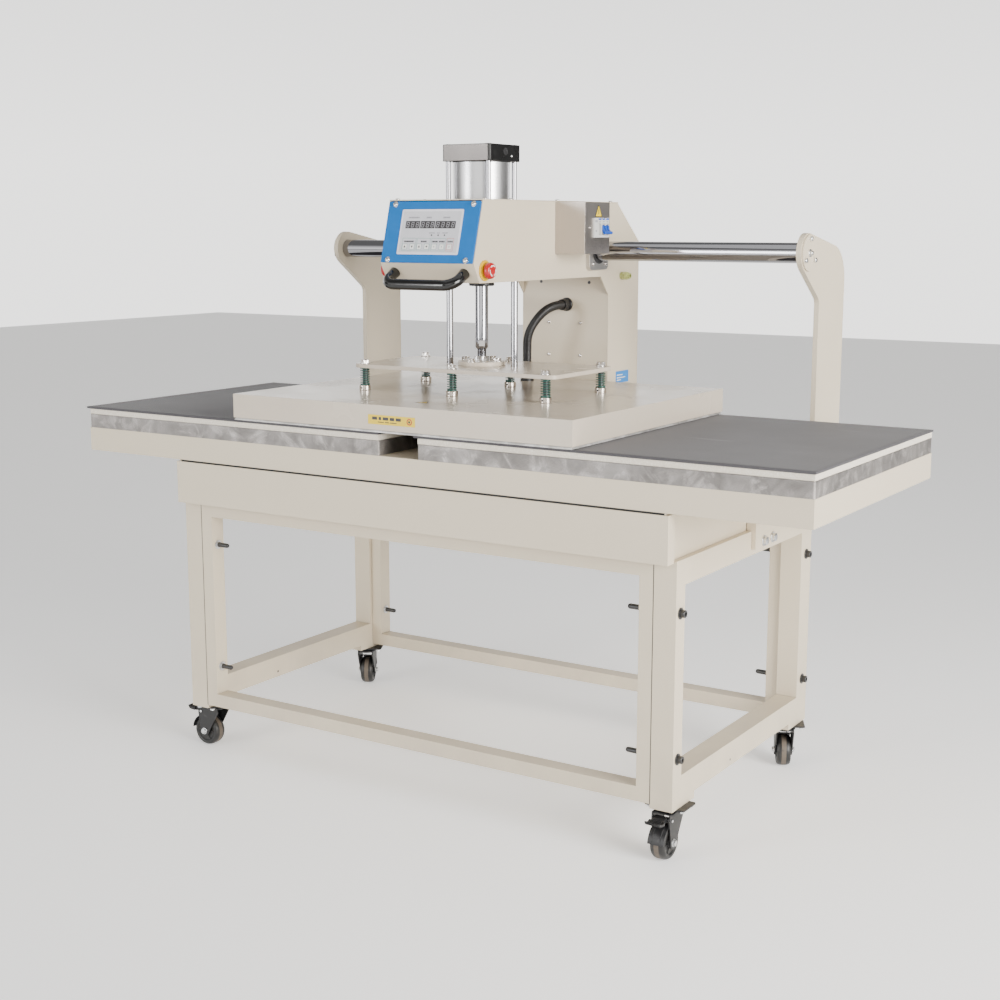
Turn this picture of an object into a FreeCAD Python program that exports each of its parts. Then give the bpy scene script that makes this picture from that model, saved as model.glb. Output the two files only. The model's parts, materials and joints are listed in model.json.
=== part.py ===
import FreeCAD, Part
import math
import os
import re
import Sketcher

# Double-station pneumatic shuttle heat press.  Millimetres, +Z up, +X along the two
# beds, the operator stands at -Y.  Positions are written about the middle of the two
# beds; centre_x and centre_y move everything so that the origin is the middle of the
# machine's footprint on the floor.

SIZES = (
    ("centre_x", 3.5, "middle of the beds, from the origin"),
    ("centre_y", -95.75, "middle of the beds, from the origin"),
    # beds and table
    ("bed_length", 900, "one aluminium bed, along X"),
    ("bed_depth", 700, "one aluminium bed, along Y"),
    ("bed_thick", 33, "bed slab"),
    ("bed_gap", 104, "between the two beds"),
    ("bed_corner", 6, "bed corner radius"),
    ("foam_thick", 13.5, "silicone foam pad"),
    ("mat_thick", 5, "grey heat mat"),
    ("mat_length", 911, "heat mat, along X"),
    ("mat_depth", 704, "heat mat, along Y"),
    ("mat_shift", 9, "how far each mat hangs over to the left"),
    ("tray_z", 736, "underside of the table tray"),
    ("tray_height", 57, "table tray, folded sheet"),
    ("sheet_wall", 3, "folded steel sheet"),
    ("apron_half", 656, "half length of the front apron"),
    ("apron_z", 632, "underside of the front apron"),
    ("apron_height", 100, "front apron"),
    ("apron_proud", 3.3, "apron face in front of the tray"),
    ("apron_return", 27, "folded end of the apron"),
    ("panel_half", 649, "outer face of the base side panels"),
    # stand
    ("frame_half", 662, "outer face of the side frames"),
    ("leg_width", 51, "leg tube, along X"),
    ("frame_front", -323, "front face of the legs"),
    ("frame_rear", 396, "rear face of the rear legs"),
    ("front_leg_depth", 40, "front leg tube, along Y"),
    ("rear_leg_depth", 60, "rear leg tube, along Y"),
    ("foot_z", 113, "underside of the feet"),
    ("foot_length", 104, "foot block, along Y"),
    ("foot_height", 15, "foot block"),
    ("frame_top", 636, "top of the stand"),
    ("side_rail", 54, "height of the side rails"),
    ("tube_wall", 2.5, "wall of the frame tubes"),
    ("cross_width", 32, "upright of a cross frame, along X"),
    ("cross_depth", 40, "cross frame tube, along Y"),
    ("cross_z", 122, "underside of the cross frames"),
    ("cross_low_rail", 32, "lower rail of a cross frame"),
    ("cross_top_rail", 38, "upper rail of a cross frame"),
    ("cross_rear_y", 346, "front face of the rear cross frame"),
    ("bolt_front_y", -303, "frame bolts in the front legs"),
    ("bolt_rear_y", 366, "frame bolts in the rear legs"),
    ("bolt_low_z", 222, "lower frame bolts"),
    ("bolt_high_z", 527, "upper frame bolts"),
    ("bolt_radius", 5, "M10 shank"),
    ("bolt_head_radius", 8, "socket head"),
    ("bolt_head", 10, "socket head height"),
    ("bolt_tip", 34, "thread left over inside the stand"),
    ("washer_radius", 12, "large washer"),
    ("washer_thick", 2, "large washer"),
    # brackets, shaft and lower rail
    ("bracket_inner", 650, "inner face of a bracket plate"),
    ("bracket_thick", 12, "bracket plate"),
    ("bracket_front", 41, "front end of the bracket foot"),
    ("bracket_neck", 390, "front edge of the bracket upright"),
    ("bracket_neck_z", 1120, "top of the upright's straight front edge"),
    ("bracket_foot_z", 730, "top of the bracket foot"),
    ("bracket_rear", 550, "rear edge of the bracket"),
    ("bracket_rear_z", 600, "lower rear corner of the bracket"),
    ("bracket_shoulder_z", 1230, "where the sloping top meets the rear edge"),
    ("bracket_shoulder", 85, "radius of that shoulder"),
    ("boss_radius", 44.6, "round end of the bracket"),
    ("boss_low_y", 288.4, "where the lower slope meets the round end"),
    ("boss_low_z", 1191.1, "where the lower slope meets the round end"),
    ("boss_top_y", 322, "where the upper slope meets the round end"),
    ("boss_top_z", 1271.5, "where the upper slope meets the round end"),
    ("lug_thick", 10, "bolted lug of the bracket"),
    ("lug_length", 110, "bolted lug, along Y"),
    ("lug_z", 596, "underside of the lug"),
    ("lug_bolt_y", 86, "lug bolts"),
    ("lug_bolt_z", 609, "lug bolts"),
    ("lug_bolt_pitch", 48, "between the two lug bolts"),
    ("shaft_radius", 23.1, "slide shaft"),
    ("shaft_y", 314, "slide shaft axis"),
    ("shaft_z", 1227.6, "slide shaft axis"),
    ("cap_radius", 41, "shaft end cap"),
    ("cap_thick", 4, "shaft end cap"),
    ("cap_screw_circle", 32, "radius of the three cap screws"),
    ("rail_size", 50, "lower guide rail, square tube"),
    ("rail_y", 445, "front face of the lower guide rail"),
    ("rail_z", 640, "underside of the lower guide rail"),
    ("rail_wall", 4, "wall of the lower guide rail"),
    ("slide_gap", 0.3, "running gap of plain sliding faces"),
    # casters
    ("caster_x", 632, "swivel axis from the middle"),
    ("caster_front_y", -271, "front swivel axes"),
    ("caster_rear_y", 344, "rear swivel axes"),
    ("caster_trail", 24, "axle behind the swivel axis"),
    ("wheel_radius", 37.5, "caster wheel"),
    ("wheel_width", 26, "caster wheel"),
    ("wheel_round", 5, "rounded tread edge"),
    ("axle_radius", 4, "caster axle"),
    ("fit_gap", 0.05, "radial gap of a running fit"),
    ("cheek_gap", 16, "inner face of a fork cheek from the middle"),
    ("cheek_thick", 3, "fork cheek"),
    ("plate_thick", 3, "caster top plate"),
    ("kingpin_radius", 5, "swivel pin"),
    ("pedal_x", 33, "brake pedal pivot behind the swivel axis"),
    ("pedal_z", 88, "brake pedal pivot"),
    ("pedal_length", 42, "brake pedal beyond its pivot"),
    # carriage: head box and column
    ("carriage_x", -11, "middle of the carriage as it stands"),
    ("head_half", 125, "outer face of the side plates"),
    ("side_sheet", 4, "side plate"),
    ("head_z", 1165, "underside of the head"),
    ("head_top", 1343, "top of the head's side plates"),
    ("chin_y", -197, "lower front edge of the chin"),
    ("face_low_y", -221, "lower edge of the control face"),
    ("face_low_z", 1207, "lower edge of the control face"),
    ("face_top_y", -184, "upper edge of the control face"),
    ("face_top_z", 1341, "upper edge of the control face"),
    ("face_length", 139, "control face, along its slope"),
    ("face_tilt", 15.436, "control face from upright, degrees"),
    ("chin_tilt", 29.74, "chin's outward normal below level, degrees"),
    ("roof_rear", 426, "where the head's flat top ends"),
    ("column_front", 383, "front of the column"),
    ("column_rear", 543, "rear of the column"),
    ("column_slope_z", 1248, "where the sloping top meets the rear"),
    ("column_z", 700, "underside of the column"),
    ("gusset_y", 343, "front corner of the gusset under the head"),
    ("gusset_z", 1118, "lower corner of the gusset"),
    ("roof_sheet", 2.5, "top cover"),
    ("roof_hole", 137, "square opening for the cylinder"),
    ("bezel_half", 123, "control bezel, half width"),
    ("bezel_thick", 3, "control bezel"),
    ("overlay_half", 82, "keypad overlay, half width"),
    ("overlay_height", 101.6, "keypad overlay, along the slope"),
    ("overlay_low", 18.7, "overlay above the bezel's lower edge"),
    ("overlay_thick", 0.8, "keypad overlay"),
    ("face_screw_half", 104.5, "bezel screws from the middle"),
    ("face_screw_low", 6.8, "lower bezel screws, along the slope"),
    ("face_screw_high", 132, "upper bezel screws, along the slope"),
    ("handle_half", 93.5, "handle legs from the middle"),
    ("handle_y", -209, "handle feet"),
    ("handle_z", 1186, "handle feet"),
    ("handle_radius", 12, "handle bar"),
    ("handle_reach", 50, "handle bar in front of the chin"),
    ("handle_bend", 24, "bend of the handle's axis"),
    # emergency stops
    ("stop_y", -178, "emergency stops"),
    ("stop_z", 1192, "emergency stops"),
    ("stop_disc", 22.5, "collar radius"),
    ("stop_collar", 3, "collar thickness"),
    ("stop_barrel", 11, "barrel radius"),
    ("stop_barrel_length", 20, "barrel behind the side plate"),
    ("stop_stem", 6, "stem radius"),
    ("stop_head", 18, "mushroom radius"),
    ("stop_gap", 8, "underside of the mushroom from the side plate"),
    ("stop_head_height", 14, "mushroom"),
    # switch box and breaker
    ("switch_depth", 79.6, "switch box from the side plate"),
    ("switch_front", 122, "front of the switch box"),
    ("switch_length", 117, "switch box, along Y"),
    ("switch_z", 1223.5, "underside of the switch box"),
    ("switch_height", 118.5, "switch box"),
    ("switch_sheet", 1.5, "switch box sheet"),
    ("breaker_y", 158, "front of the breaker"),
    ("breaker_length", 72, "breaker, four modules"),
    ("breaker_z", 1241, "underside of the breaker"),
    ("breaker_height", 85, "breaker"),
    ("breaker_depth", 58, "breaker behind its window"),
    ("nose_z", 1261, "underside of the breaker's nose"),
    ("nose_height", 45, "breaker's nose"),
    ("nose_proud", 4.4, "nose in front of the box"),
    ("toggle_y", 194, "start of the toggle bar"),
    ("toggle_length", 35, "toggle bar"),
    ("toggle_z", 1283, "toggle pivot"),
    ("toggle_radius", 7, "toggle drum"),
    ("toggle_reach", 16, "toggle bar from its pivot"),
    ("toggle_bar", 3.5, "toggle bar radius"),
    # shaft bearings and fitting
    ("bearing_radius", 37.5, "linear bearing sleeve"),
    ("bearing_length", 36, "linear bearing"),
    ("flange_size", 91, "square bearing flange"),
    ("flange_thick", 11, "bearing flange"),
    ("flange_pitch", 62, "flange screws"),
    ("fitting_y", 449, "exhaust fitting"),
    ("fitting_z", 1164, "exhaust fitting"),
    ("fitting_radius", 10, "exhaust fitting"),
    ("fitting_length", 26, "exhaust fitting"),
    # cylinder
    ("block_size", 131, "square cylinder heads"),
    ("block_height", 37.6, "cylinder heads"),
    ("belly_sheet", 3, "floor of the head"),
    ("barrel_radius", 65, "cylinder barrel"),
    ("barrel_bore", 62.5, "cylinder bore radius"),
    ("barrel_length", 226.4, "cylinder barrel"),
    ("tie_offset", 54.5, "tie rods from the middle"),
    ("tie_radius", 5.75, "tie rod"),
    ("gland_radius", 29.5, "rod gland"),
    ("gland_height", 14, "rod gland"),
    ("bush_radius", 14, "guide bush"),
    ("bush_height", 30, "guide bush"),
    # press head
    ("rod_radius", 15, "piston rod"),
    ("neck_radius", 11, "threaded neck of the rod"),
    ("neck_length", 50.6, "threaded neck of the rod"),
    ("piston_gap", 0.4, "piston to bore"),
    ("piston_z", 1212, "underside of the piston"),
    ("piston_height", 28, "piston"),
    ("guide_x", 90, "guide rods from the middle"),
    ("guide_radius", 8, "guide rod"),
    ("guide_top", 1236, "top of the guide rods"),
    ("plate_z", 958.4, "underside of the pressure plate"),
    ("plate_height", 9, "pressure plate"),
    ("plate_half_x", 277.5, "pressure plate"),
    ("plate_half_y", 136.1, "pressure plate"),
    ("plate_corner", 22, "pressure plate corner radius"),
    ("disc_radius", 55.5, "rod flange"),
    ("disc_height", 10, "rod flange"),
    ("disc_bolt_circle", 45, "radius of the flange bolts"),
    ("hex_radius", 9.8, "hexagon head, across corners / 2"),
    ("hex_height", 7, "hexagon head"),
    ("nut_radius", 18.5, "rod nut, across corners / 2"),
    ("nut_height", 12, "rod nut"),
    # platen
    ("platen_gap", 0.5, "heating plate above the mats"),
    ("heater_thick", 18, "aluminium heating plate"),
    ("heater_half_x", 448, "heating plate"),
    ("heater_half_y", 354, "heating plate"),
    ("cover_z", 851, "lower edge of the platen cover"),
    ("cover_height", 54.7, "platen cover"),
    ("cover_half_x", 452.8, "platen cover"),
    ("cover_half_y", 358.5, "platen cover"),
    ("cover_sheet", 2.5, "platen cover"),
    ("post_x", 249, "outer spring posts"),
    ("post_y", 124, "spring posts"),
    ("post_radius", 6, "shoulder bolt"),
    ("post_gap", 0.5, "shoulder bolt in its plate hole"),
    ("collar_radius", 14, "spring collar"),
    ("collar_height", 12, "spring collar"),
    ("spring_radius", 11.5, "spring, outside"),
    ("spring_bore", 7, "spring, inside"),
    # hose and its glands
    ("hose_radius", 11, "corrugated hose"),
    ("hose_gland_x", 6, "upper gland from the carriage's middle"),
    ("hose_gland_z", 1092, "upper gland"),
    ("hose_gland_length", 27, "upper gland"),
    ("hose_gland_radius", 14.5, "both glands"),
    ("low_gland_x", -42, "lower gland from the carriage's middle"),
    ("low_gland_y", 270, "lower gland"),
    ("low_gland_height", 39.3, "lower gland"),
)

doc = FreeCAD.newDocument("heat_press")
sheet = doc.addObject("Spreadsheet::Sheet", "dims")
for row, (alias, value, note) in enumerate(SIZES, start=1):
    sheet.set("A%d" % row, alias)
    sheet.set("B%d" % row, str(value))
    sheet.set("C%d" % row, note)
    sheet.setAlias("B%d" % row, alias)
doc.recompute()

probe = doc.addObject("App::FeaturePython", "probe")
probe.addProperty("App::PropertyFloat", "value")
ALIASES = {alias for alias, value, note in SIZES}
WORD = re.compile(r"[A-Za-z_]\w*")
TURN_TO = {
    "Z": FreeCAD.Rotation(),
    "X": FreeCAD.Rotation(FreeCAD.Vector(0, 1, 0), 90),
    "-X": FreeCAD.Rotation(FreeCAD.Vector(0, 1, 0), -90),
    "Y": FreeCAD.Rotation(FreeCAD.Vector(1, 0, 0), -90),
    "-Y": FreeCAD.Rotation(FreeCAD.Vector(1, 0, 0), 90),
}

# heights that several sub-parts share
TRAY_TOP = "(tray_z + tray_height)"
BED_TOP = "(tray_z + tray_height + bed_thick)"
FOAM_TOP = "(tray_z + tray_height + bed_thick + foam_thick)"
MAT_TOP = "(tray_z + tray_height + bed_thick + foam_thick + mat_thick)"
HEATER_Z = "(tray_z + tray_height + bed_thick + foam_thick + mat_thick + platen_gap)"
COVER_TOP = "(cover_z + cover_height)"
PLATE_TOP = "(plate_z + plate_height)"
DISC_TOP = "(plate_z + plate_height + disc_height)"
BELLY_TOP = "(head_z + belly_sheet)"
BARREL_Z = "(head_z + belly_sheet + block_height)"
ROOF_TOP = "(head_top + roof_sheet)"
SIDES = ((-1, "left"), (1, "right"))


def size(alias):
    """A size from the sheet as a number."""
    return float(getattr(sheet, alias))


def number(text):
    """The value of an expression of sheet sizes."""
    probe.setExpression("value", expr(text))
    probe.recompute()
    return float(probe.value)


def expr(text):
    """An expression with every size name pointed at the sheet."""
    return WORD.sub(lambda m: "dims." + m.group() if m.group() in ALIASES else m.group(), str(text))


def bind(obj, **texts):
    for prop, text in texts.items():
        obj.setExpression(prop, expr(text))
    return obj


def move(obj, x="0", y="0", z="0", local=False):
    """Place an object: about the middle of the beds, or in its group's own frame."""
    if not local:
        x = "centre_x + (%s)" % x
        y = "centre_y + (%s)" % y
    obj.setExpression("Placement.Base.x", expr(x))
    obj.setExpression("Placement.Base.y", expr(y))
    obj.setExpression("Placement.Base.z", expr(z))
    return obj


def turn(obj, axis):
    obj.Placement = FreeCAD.Placement(FreeCAD.Vector(), TURN_TO[axis])
    return obj


def box(name, low, high, local=False):
    """A box between two corners."""
    obj = doc.addObject("Part::Box", name)
    bind(obj, Length="(%s) - (%s)" % (high[0], low[0]), Width="(%s) - (%s)" % (high[1], low[1]),
         Height="(%s) - (%s)" % (high[2], low[2]))
    return move(obj, *low, local=local)


def rod(name, radius, length, start, axis="Z", local=False):
    """A cylinder that starts at a point and runs along an axis."""
    obj = turn(doc.addObject("Part::Cylinder", name), axis)
    bind(obj, Radius=radius, Height=length)
    return move(obj, *start, local=local)


def dome(name, radius, start, axis="Z", local=False):
    """A pan-head screw: a low cone that stands on a surface."""
    obj = turn(doc.addObject("Part::Cone", name), axis)
    bind(obj, Radius1=radius, Radius2="0.6 * (%s)" % radius, Height="0.5 * (%s)" % radius)
    return move(obj, *start, local=local)


def hexagon(name, radius, height, start, axis="Z", local=False):
    obj = turn(doc.addObject("Part::Prism", name), axis)
    obj.Polygon = 6
    bind(obj, Circumradius=radius, Height=height)
    return move(obj, *start, local=local)


def fuse(name, shapes):
    obj = doc.addObject("Part::MultiFuse", name)
    obj.Shapes = shapes
    return obj


def cut(name, base, tools):
    obj = doc.addObject("Part::Cut", name)
    obj.Base = base
    obj.Tool = tools[0] if len(tools) == 1 else fuse(name + "_tools", tools)
    return obj


def group(name, shapes):
    """Several separate pieces that make one sub-part."""
    obj = doc.addObject("Part::Compound", name)
    obj.Links = shapes
    return obj


def plane_sketch(body, name, role):
    """A sketch on one of the body's own origin planes."""
    plane = [f for f in body.Origin.OriginFeatures if f.Role == role][0]
    sketch = body.newObject("Sketcher::SketchObject", name)
    sketch.AttachmentSupport = [(plane, "")]
    sketch.MapMode = "FlatFace"
    return sketch


def fix_point(sketch, geometry, vertex, point):
    """Tie a sketch vertex to two sizes from the sheet."""
    for kind, text in zip(("DistanceX", "DistanceY"), point):
        start = getattr(sketch.Geometry[geometry], {1: "StartPoint", 3: "Center"}[vertex])
        now = start.x if kind == "DistanceX" else start.y
        index = sketch.addConstraint(Sketcher.Constraint(kind, -1, 1, geometry, vertex, now))
        sketch.setExpression("Constraints[%d]" % index, expr(text))


def draw_outline(sketch, points):
    """A closed outline whose corners are sizes from the sheet."""
    values = [FreeCAD.Vector(number(x), number(y), 0) for x, y in points]
    first = len(sketch.Geometry)
    count = len(points)
    for i, corner in enumerate(values):
        sketch.addGeometry(Part.LineSegment(corner, values[(i + 1) % count]), False)
    for i in range(count):
        after = first + (i + 1) % count
        sketch.addConstraint(Sketcher.Constraint("Coincident", first + i, 2, after, 1))
    for i, point in enumerate(points):
        fix_point(sketch, first + i, 1, point)


def draw_circle(sketch, point, radius):
    centre = FreeCAD.Vector(number(point[0]), number(point[1]), 0)
    index = sketch.addGeometry(Part.Circle(centre, FreeCAD.Vector(0, 0, 1), number(radius)), False)
    held = sketch.addConstraint(Sketcher.Constraint("Radius", index, number(radius)))
    sketch.setExpression("Constraints[%d]" % held, expr(radius))
    fix_point(sketch, index, 3, point)


def set_base(body, start, axis="Z"):
    body.Placement = FreeCAD.Placement(FreeCAD.Vector(), TURN_TO[axis])
    return move(body, *start)


def plate(name, role, points, thickness, start=("0", "0", "0"), holes=(), rounds=()):
    """A flat plate: an outline with round holes, padded along its plane's normal.

    rounds is a list of (corner number, radius).  XY plates grow along +Z, YZ plates along +X."""
    body = doc.addObject("PartDesign::Body", name)
    sketch = plane_sketch(body, name + "_outline", role)
    draw_outline(sketch, points)
    for centre, radius in holes:
        draw_circle(sketch, centre, radius)
    pad = body.newObject("PartDesign::Pad", name + "_pad")
    pad.Profile = sketch
    bind(pad, Length=thickness)
    set_base(body, start)
    doc.recompute()
    for number_of_round, (corner, radius) in enumerate(rounds):
        x = number(points[corner][0])
        y = number(points[corner][1])
        base = body.Tip
        names = []
        for index, edge in enumerate(base.Shape.Edges, start=1):
            ends = [v.Point for v in edge.Vertexes]
            if len(ends) != 2:
                continue
            flat = [(p.x, p.y) if role == "XY_Plane" else (p.y, p.z) for p in ends]
            if all(abs(u - x) < 0.01 and abs(v - y) < 0.01 for u, v in flat):
                names.append("Edge%d" % index)
        fillet = body.newObject("PartDesign::Fillet", "%s_round_%d" % (name, number_of_round))
        fillet.Base = (base, names)
        bind(fillet, Radius=radius)
        doc.recompute()
    return body


def rectangle(half_x, half_y):
    return [("-(%s)" % half_x, "-(%s)" % half_y), (half_x, "-(%s)" % half_y), (half_x, half_y),
            ("-(%s)" % half_x, half_y)]


def turned(name, points, start=("0", "0", "0"), axis="Z", rounds=()):
    """A turned piece: an outline of (radius, height) points revolved about its upright axis.

    rounds is a list of (corner number, radius) for the circular edges."""
    body = doc.addObject("PartDesign::Body", name)
    sketch = plane_sketch(body, name + "_outline", "XZ_Plane")
    draw_outline(sketch, points)
    spin = body.newObject("PartDesign::Revolution", name + "_turn")
    spin.Profile = sketch
    spin.ReferenceAxis = (sketch, ["V_Axis"])
    spin.Angle = 360
    set_base(body, start, axis)
    doc.recompute()
    if rounds:
        base = body.Tip
        names = []
        for corner, radius in rounds:
            r = number(points[corner][0])
            z = number(points[corner][1])
            for index, edge in enumerate(base.Shape.Edges, start=1):
                if isinstance(edge.Curve, Part.Circle) and abs(edge.Curve.Radius - r) < 0.01 \
                        and abs(edge.Curve.Center.z - z) < 0.01:
                    names.append("Edge%d" % index)
        fillet = body.newObject("PartDesign::Fillet", name + "_round")
        fillet.Base = (base, names)
        bind(fillet, Radius=rounds[0][1])
        doc.recompute()
    return body


def shell(name, low, high, wall, open_side):
    """A box of sheet that is open on one side, given as '-z', '+z', '-x' or '+x'."""
    outside = box(name + "_outside", low, high)
    inner_low = ["(%s) + %s" % (v, wall) for v in low]
    inner_high = ["(%s) - %s" % (v, wall) for v in high]
    index = "xyz".index(open_side[1])
    if open_side[0] == "-":
        inner_low[index] = low[index]
    else:
        inner_high[index] = high[index]
    return outside, box(name + "_inside", inner_low, inner_high)


SUB_PARTS = []


def sub_part(obj, label):
    obj.Label = label
    SUB_PARTS.append(obj)
    return obj


# ---------------------------------------------------------------- stand

def tube_frame(name, members, along, span, holes, solid=()):
    """A welded frame of square tube: members are (u0, u1, z0, z1) across the axis 'along'."""
    outside = []
    inside = []
    for i, (u0, u1, z0, z1) in enumerate(members):
        outer = ((span[0], u0, z0), (span[1], u1, z1))
        inner = (("(%s) + tube_wall" % span[0], "(%s) + tube_wall" % u0, "(%s) + tube_wall" % z0),
                 ("(%s) - tube_wall" % span[1], "(%s) - tube_wall" % u1, "(%s) - tube_wall" % z1))
        if along == "Y":
            outer = tuple((c[1], c[0], c[2]) for c in outer)
            inner = tuple((c[1], c[0], c[2]) for c in inner)
        outside.append(box("%s_tube_%d" % (name, i), *outer))
        inside.append(box("%s_bore_%d" % (name, i), *inner))
    for i, (low, high) in enumerate(solid):
        outside.append(box("%s_foot_%d" % (name, i), low, high))
    return cut(name, fuse(name + "_tubes", outside), inside + holes)


BOLT_SPOTS = [(y, z) for y in ("bolt_front_y", "bolt_rear_y") for z in ("bolt_low_z", "bolt_high_z")]
CROSS_INNER = "(frame_half - leg_width - cross_width)"
LEG_INNER = "(frame_half - leg_width)"


def side_frame(sign, side):
    name = "side_frame_" + side
    low, high = (LEG_INNER, "frame_half") if sign > 0 else ("-frame_half", "-" + LEG_INNER)
    foot_top = "(foot_z + foot_height)"
    members = (
        ("frame_front", "frame_front + front_leg_depth", foot_top, "frame_top"),
        ("frame_rear - rear_leg_depth", "frame_rear", foot_top, "frame_top"),
        ("frame_front", "frame_rear", "frame_top - side_rail", "frame_top"),
        ("frame_front", "frame_rear", foot_top, foot_top + " + side_rail"),
    )
    feet = (
        ((low, "frame_front", "foot_z"), (high, "frame_front + foot_length", foot_top)),
        ((low, "frame_rear - foot_length", "foot_z"), (high, "frame_rear", foot_top)),
    )
    holes = [rod("%s_hole_%d" % (name, i), "bolt_radius", "leg_width", (low, y, z), "X")
             for i, (y, z) in enumerate(BOLT_SPOTS)]
    for i in range(2):
        y = "lug_bolt_y + %d * lug_bolt_pitch" % i
        holes.append(rod("%s_lug_hole_%d" % (name, i), "bolt_radius", "leg_width",
                         (low, y, "lug_bolt_z"), "X"))
    sub_part(tube_frame(name, members, "X", (low, high), holes, feet), name)


def cross_frame(name, front):
    """The frame that joins the two side frames at the front or at the rear."""
    rear = "(%s) + cross_depth" % front
    top = "frame_top"
    members = (
        ("-" + LEG_INNER, "-" + CROSS_INNER, "cross_z", top),
        (CROSS_INNER, LEG_INNER, "cross_z", top),
        ("-" + LEG_INNER, LEG_INNER, "cross_z", "cross_z + cross_low_rail"),
        ("-" + LEG_INNER, LEG_INNER, top + " - cross_top_rail", top),
    )
    y = "bolt_front_y" if name.endswith("front") else "bolt_rear_y"
    holes = [rod("%s_hole_%d" % (name, i), "bolt_radius", "2 * " + LEG_INNER, ("-" + LEG_INNER, y, z), "X")
             for i, z in enumerate(("bolt_low_z", "bolt_high_z"))]
    return tube_frame(name, members, "Y", (front, rear), holes)


def frame_bolt(sign, name, y, z):
    """A socket screw through a leg and a cross frame, with a washer at each end."""
    axis = "X" if sign > 0 else "-X"
    out = "X" if sign > 0 else "-X"
    face = "%d * frame_half" % sign
    inner = "%d * (frame_half - leg_width - cross_width)" % sign
    shank = rod(name + "_shank", "bolt_radius", "leg_width + cross_width + bolt_tip",
                ("%d * (frame_half - leg_width - cross_width - bolt_tip)" % sign, y, z), axis)
    washer = rod(name + "_washer", "washer_radius", "washer_thick", (face, y, z), out)
    head = rod(name + "_head", "bolt_head_radius", "bolt_head",
               ("%d * (frame_half + washer_thick)" % sign, y, z), out)
    back = rod(name + "_back", "washer_radius - 1", "washer_thick",
               ("%s - %d * washer_thick" % (inner, sign), y, z), out)
    return fuse(name, [shank, washer, head, back])


def lug_bolt(sign, name, y):
    """A hexagon bolt that holds the bracket's lug on the side frame."""
    axis = "X" if sign > 0 else "-X"
    shank = rod(name + "_shank", "bolt_radius", "lug_thick + 12",
                ("%d * (frame_half - 12)" % sign, y, "lug_bolt_z"), axis)
    washer = rod(name + "_washer", "washer_radius", "washer_thick",
                 ("%d * (frame_half + lug_thick)" % sign, y, "lug_bolt_z"), axis)
    head = hexagon(name + "_head", "hex_radius", "hex_height",
                   ("%d * (frame_half + lug_thick + washer_thick)" % sign, y, "lug_bolt_z"), axis)
    return fuse(name, [shank, washer, head])


def stand():
    for sign, side in SIDES:
        side_frame(sign, side)
    front = cross_frame("cross_frame_front", "frame_front")
    rear = cross_frame("cross_frame_rear", "cross_rear_y")
    sub_part(group("cross_frames_group", [front, rear]), "cross_frames")
    bolts = []
    for sign, side in SIDES:
        for i, (y, z) in enumerate(BOLT_SPOTS):
            bolts.append(frame_bolt(sign, "frame_bolt_%s_%d" % (side, i), y, z))
        for i in range(2):
            bolts.append(lug_bolt(sign, "lug_bolt_%s_%d" % (side, i), "lug_bolt_y + %d * lug_bolt_pitch" % i))
        for i, (across, up) in enumerate(((0, 1), (-0.866, -0.5), (0.866, -0.5))):
            spot = ("%d * (frame_half + cap_thick)" % sign, "shaft_y + %s * cap_screw_circle" % across,
                    "shaft_z + %s * cap_screw_circle" % up)
            bolts.append(rod("cap_screw_%s_%d" % (side, i), "0.6 * hex_radius", "hex_height", spot,
                             "X" if sign > 0 else "-X"))
    sub_part(group("stand_bolts_group", bolts), "stand_bolts")


def base_box():
    """Apron in front, panels at the sides and the rear, under the table tray."""
    face = "-bed_depth / 2 - apron_proud"
    back = "-bed_depth / 2 - apron_proud + sheet_wall"
    tray_inner = "(bed_depth / 2 - sheet_wall - 0.5)"
    walls = [box("apron_wall", ("-apron_half", face, "apron_z"),
                 ("apron_half", back, "apron_z + apron_height"))]
    for sign, side in SIDES:
        edges = sorted(("%d * apron_half" % sign, "%d * (apron_half - sheet_wall)" % sign), key=number)
        walls.append(box("apron_return_" + side, (edges[0], back, "apron_z"),
                         (edges[1], back + " + apron_return", "apron_z + apron_height")))
        edges = sorted(("%d * panel_half" % sign, "%d * (panel_half - sheet_wall)" % sign), key=number)
        walls.append(box("panel_low_" + side, (edges[0], back, "frame_top"), (edges[1], tray_inner, "tray_z")))
        walls.append(box("panel_high_" + side, (edges[0], "-" + tray_inner, "tray_z"),
                         (edges[1], tray_inner, TRAY_TOP + " - sheet_wall")))
    walls.append(box("rear_panel", ("-panel_half", tray_inner + " - sheet_wall", "frame_top"),
                     ("panel_half", tray_inner, TRAY_TOP + " - sheet_wall")))
    sub_part(fuse("base_box_walls", walls), "base_box")


def table():
    half = "(bed_length + bed_gap / 2)"
    outside, inside = shell("tray", ("-" + half, "-bed_depth / 2", "tray_z"),
                            (half, "bed_depth / 2", TRAY_TOP), "sheet_wall", "-z")
    sub_part(cut("table_tray_pan", outside, [inside]), "table_tray")
    slabs = []
    foams = []
    mats = []
    for sign, side in SIDES:
        middle = "%d * (bed_length + bed_gap) / 2" % sign
        corners = [(i, "bed_corner") for i in range(4)]
        slabs.append(plate("bed_" + side, "XY_Plane", rectangle("bed_length / 2", "bed_depth / 2"),
                           "bed_thick", (middle, "0", TRAY_TOP), rounds=corners))
        foams.append(plate("foam_" + side, "XY_Plane", rectangle("bed_length / 2 - 0.5", "bed_depth / 2 - 0.5"),
                           "foam_thick", (middle, "0", BED_TOP)))
        left = "%s - bed_length / 2 - mat_shift" % middle
        mats.append(plate("mat_" + side, "XY_Plane", rectangle("mat_length / 2", "mat_depth / 2"),
                          "mat_thick", ("%s + mat_length / 2" % left, "0", FOAM_TOP)))
    sub_part(group("beds_group", slabs), "beds")
    sub_part(group("foam_group", foams), "foam_pads")
    sub_part(group("mats_group", mats), "heat_mats")


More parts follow.
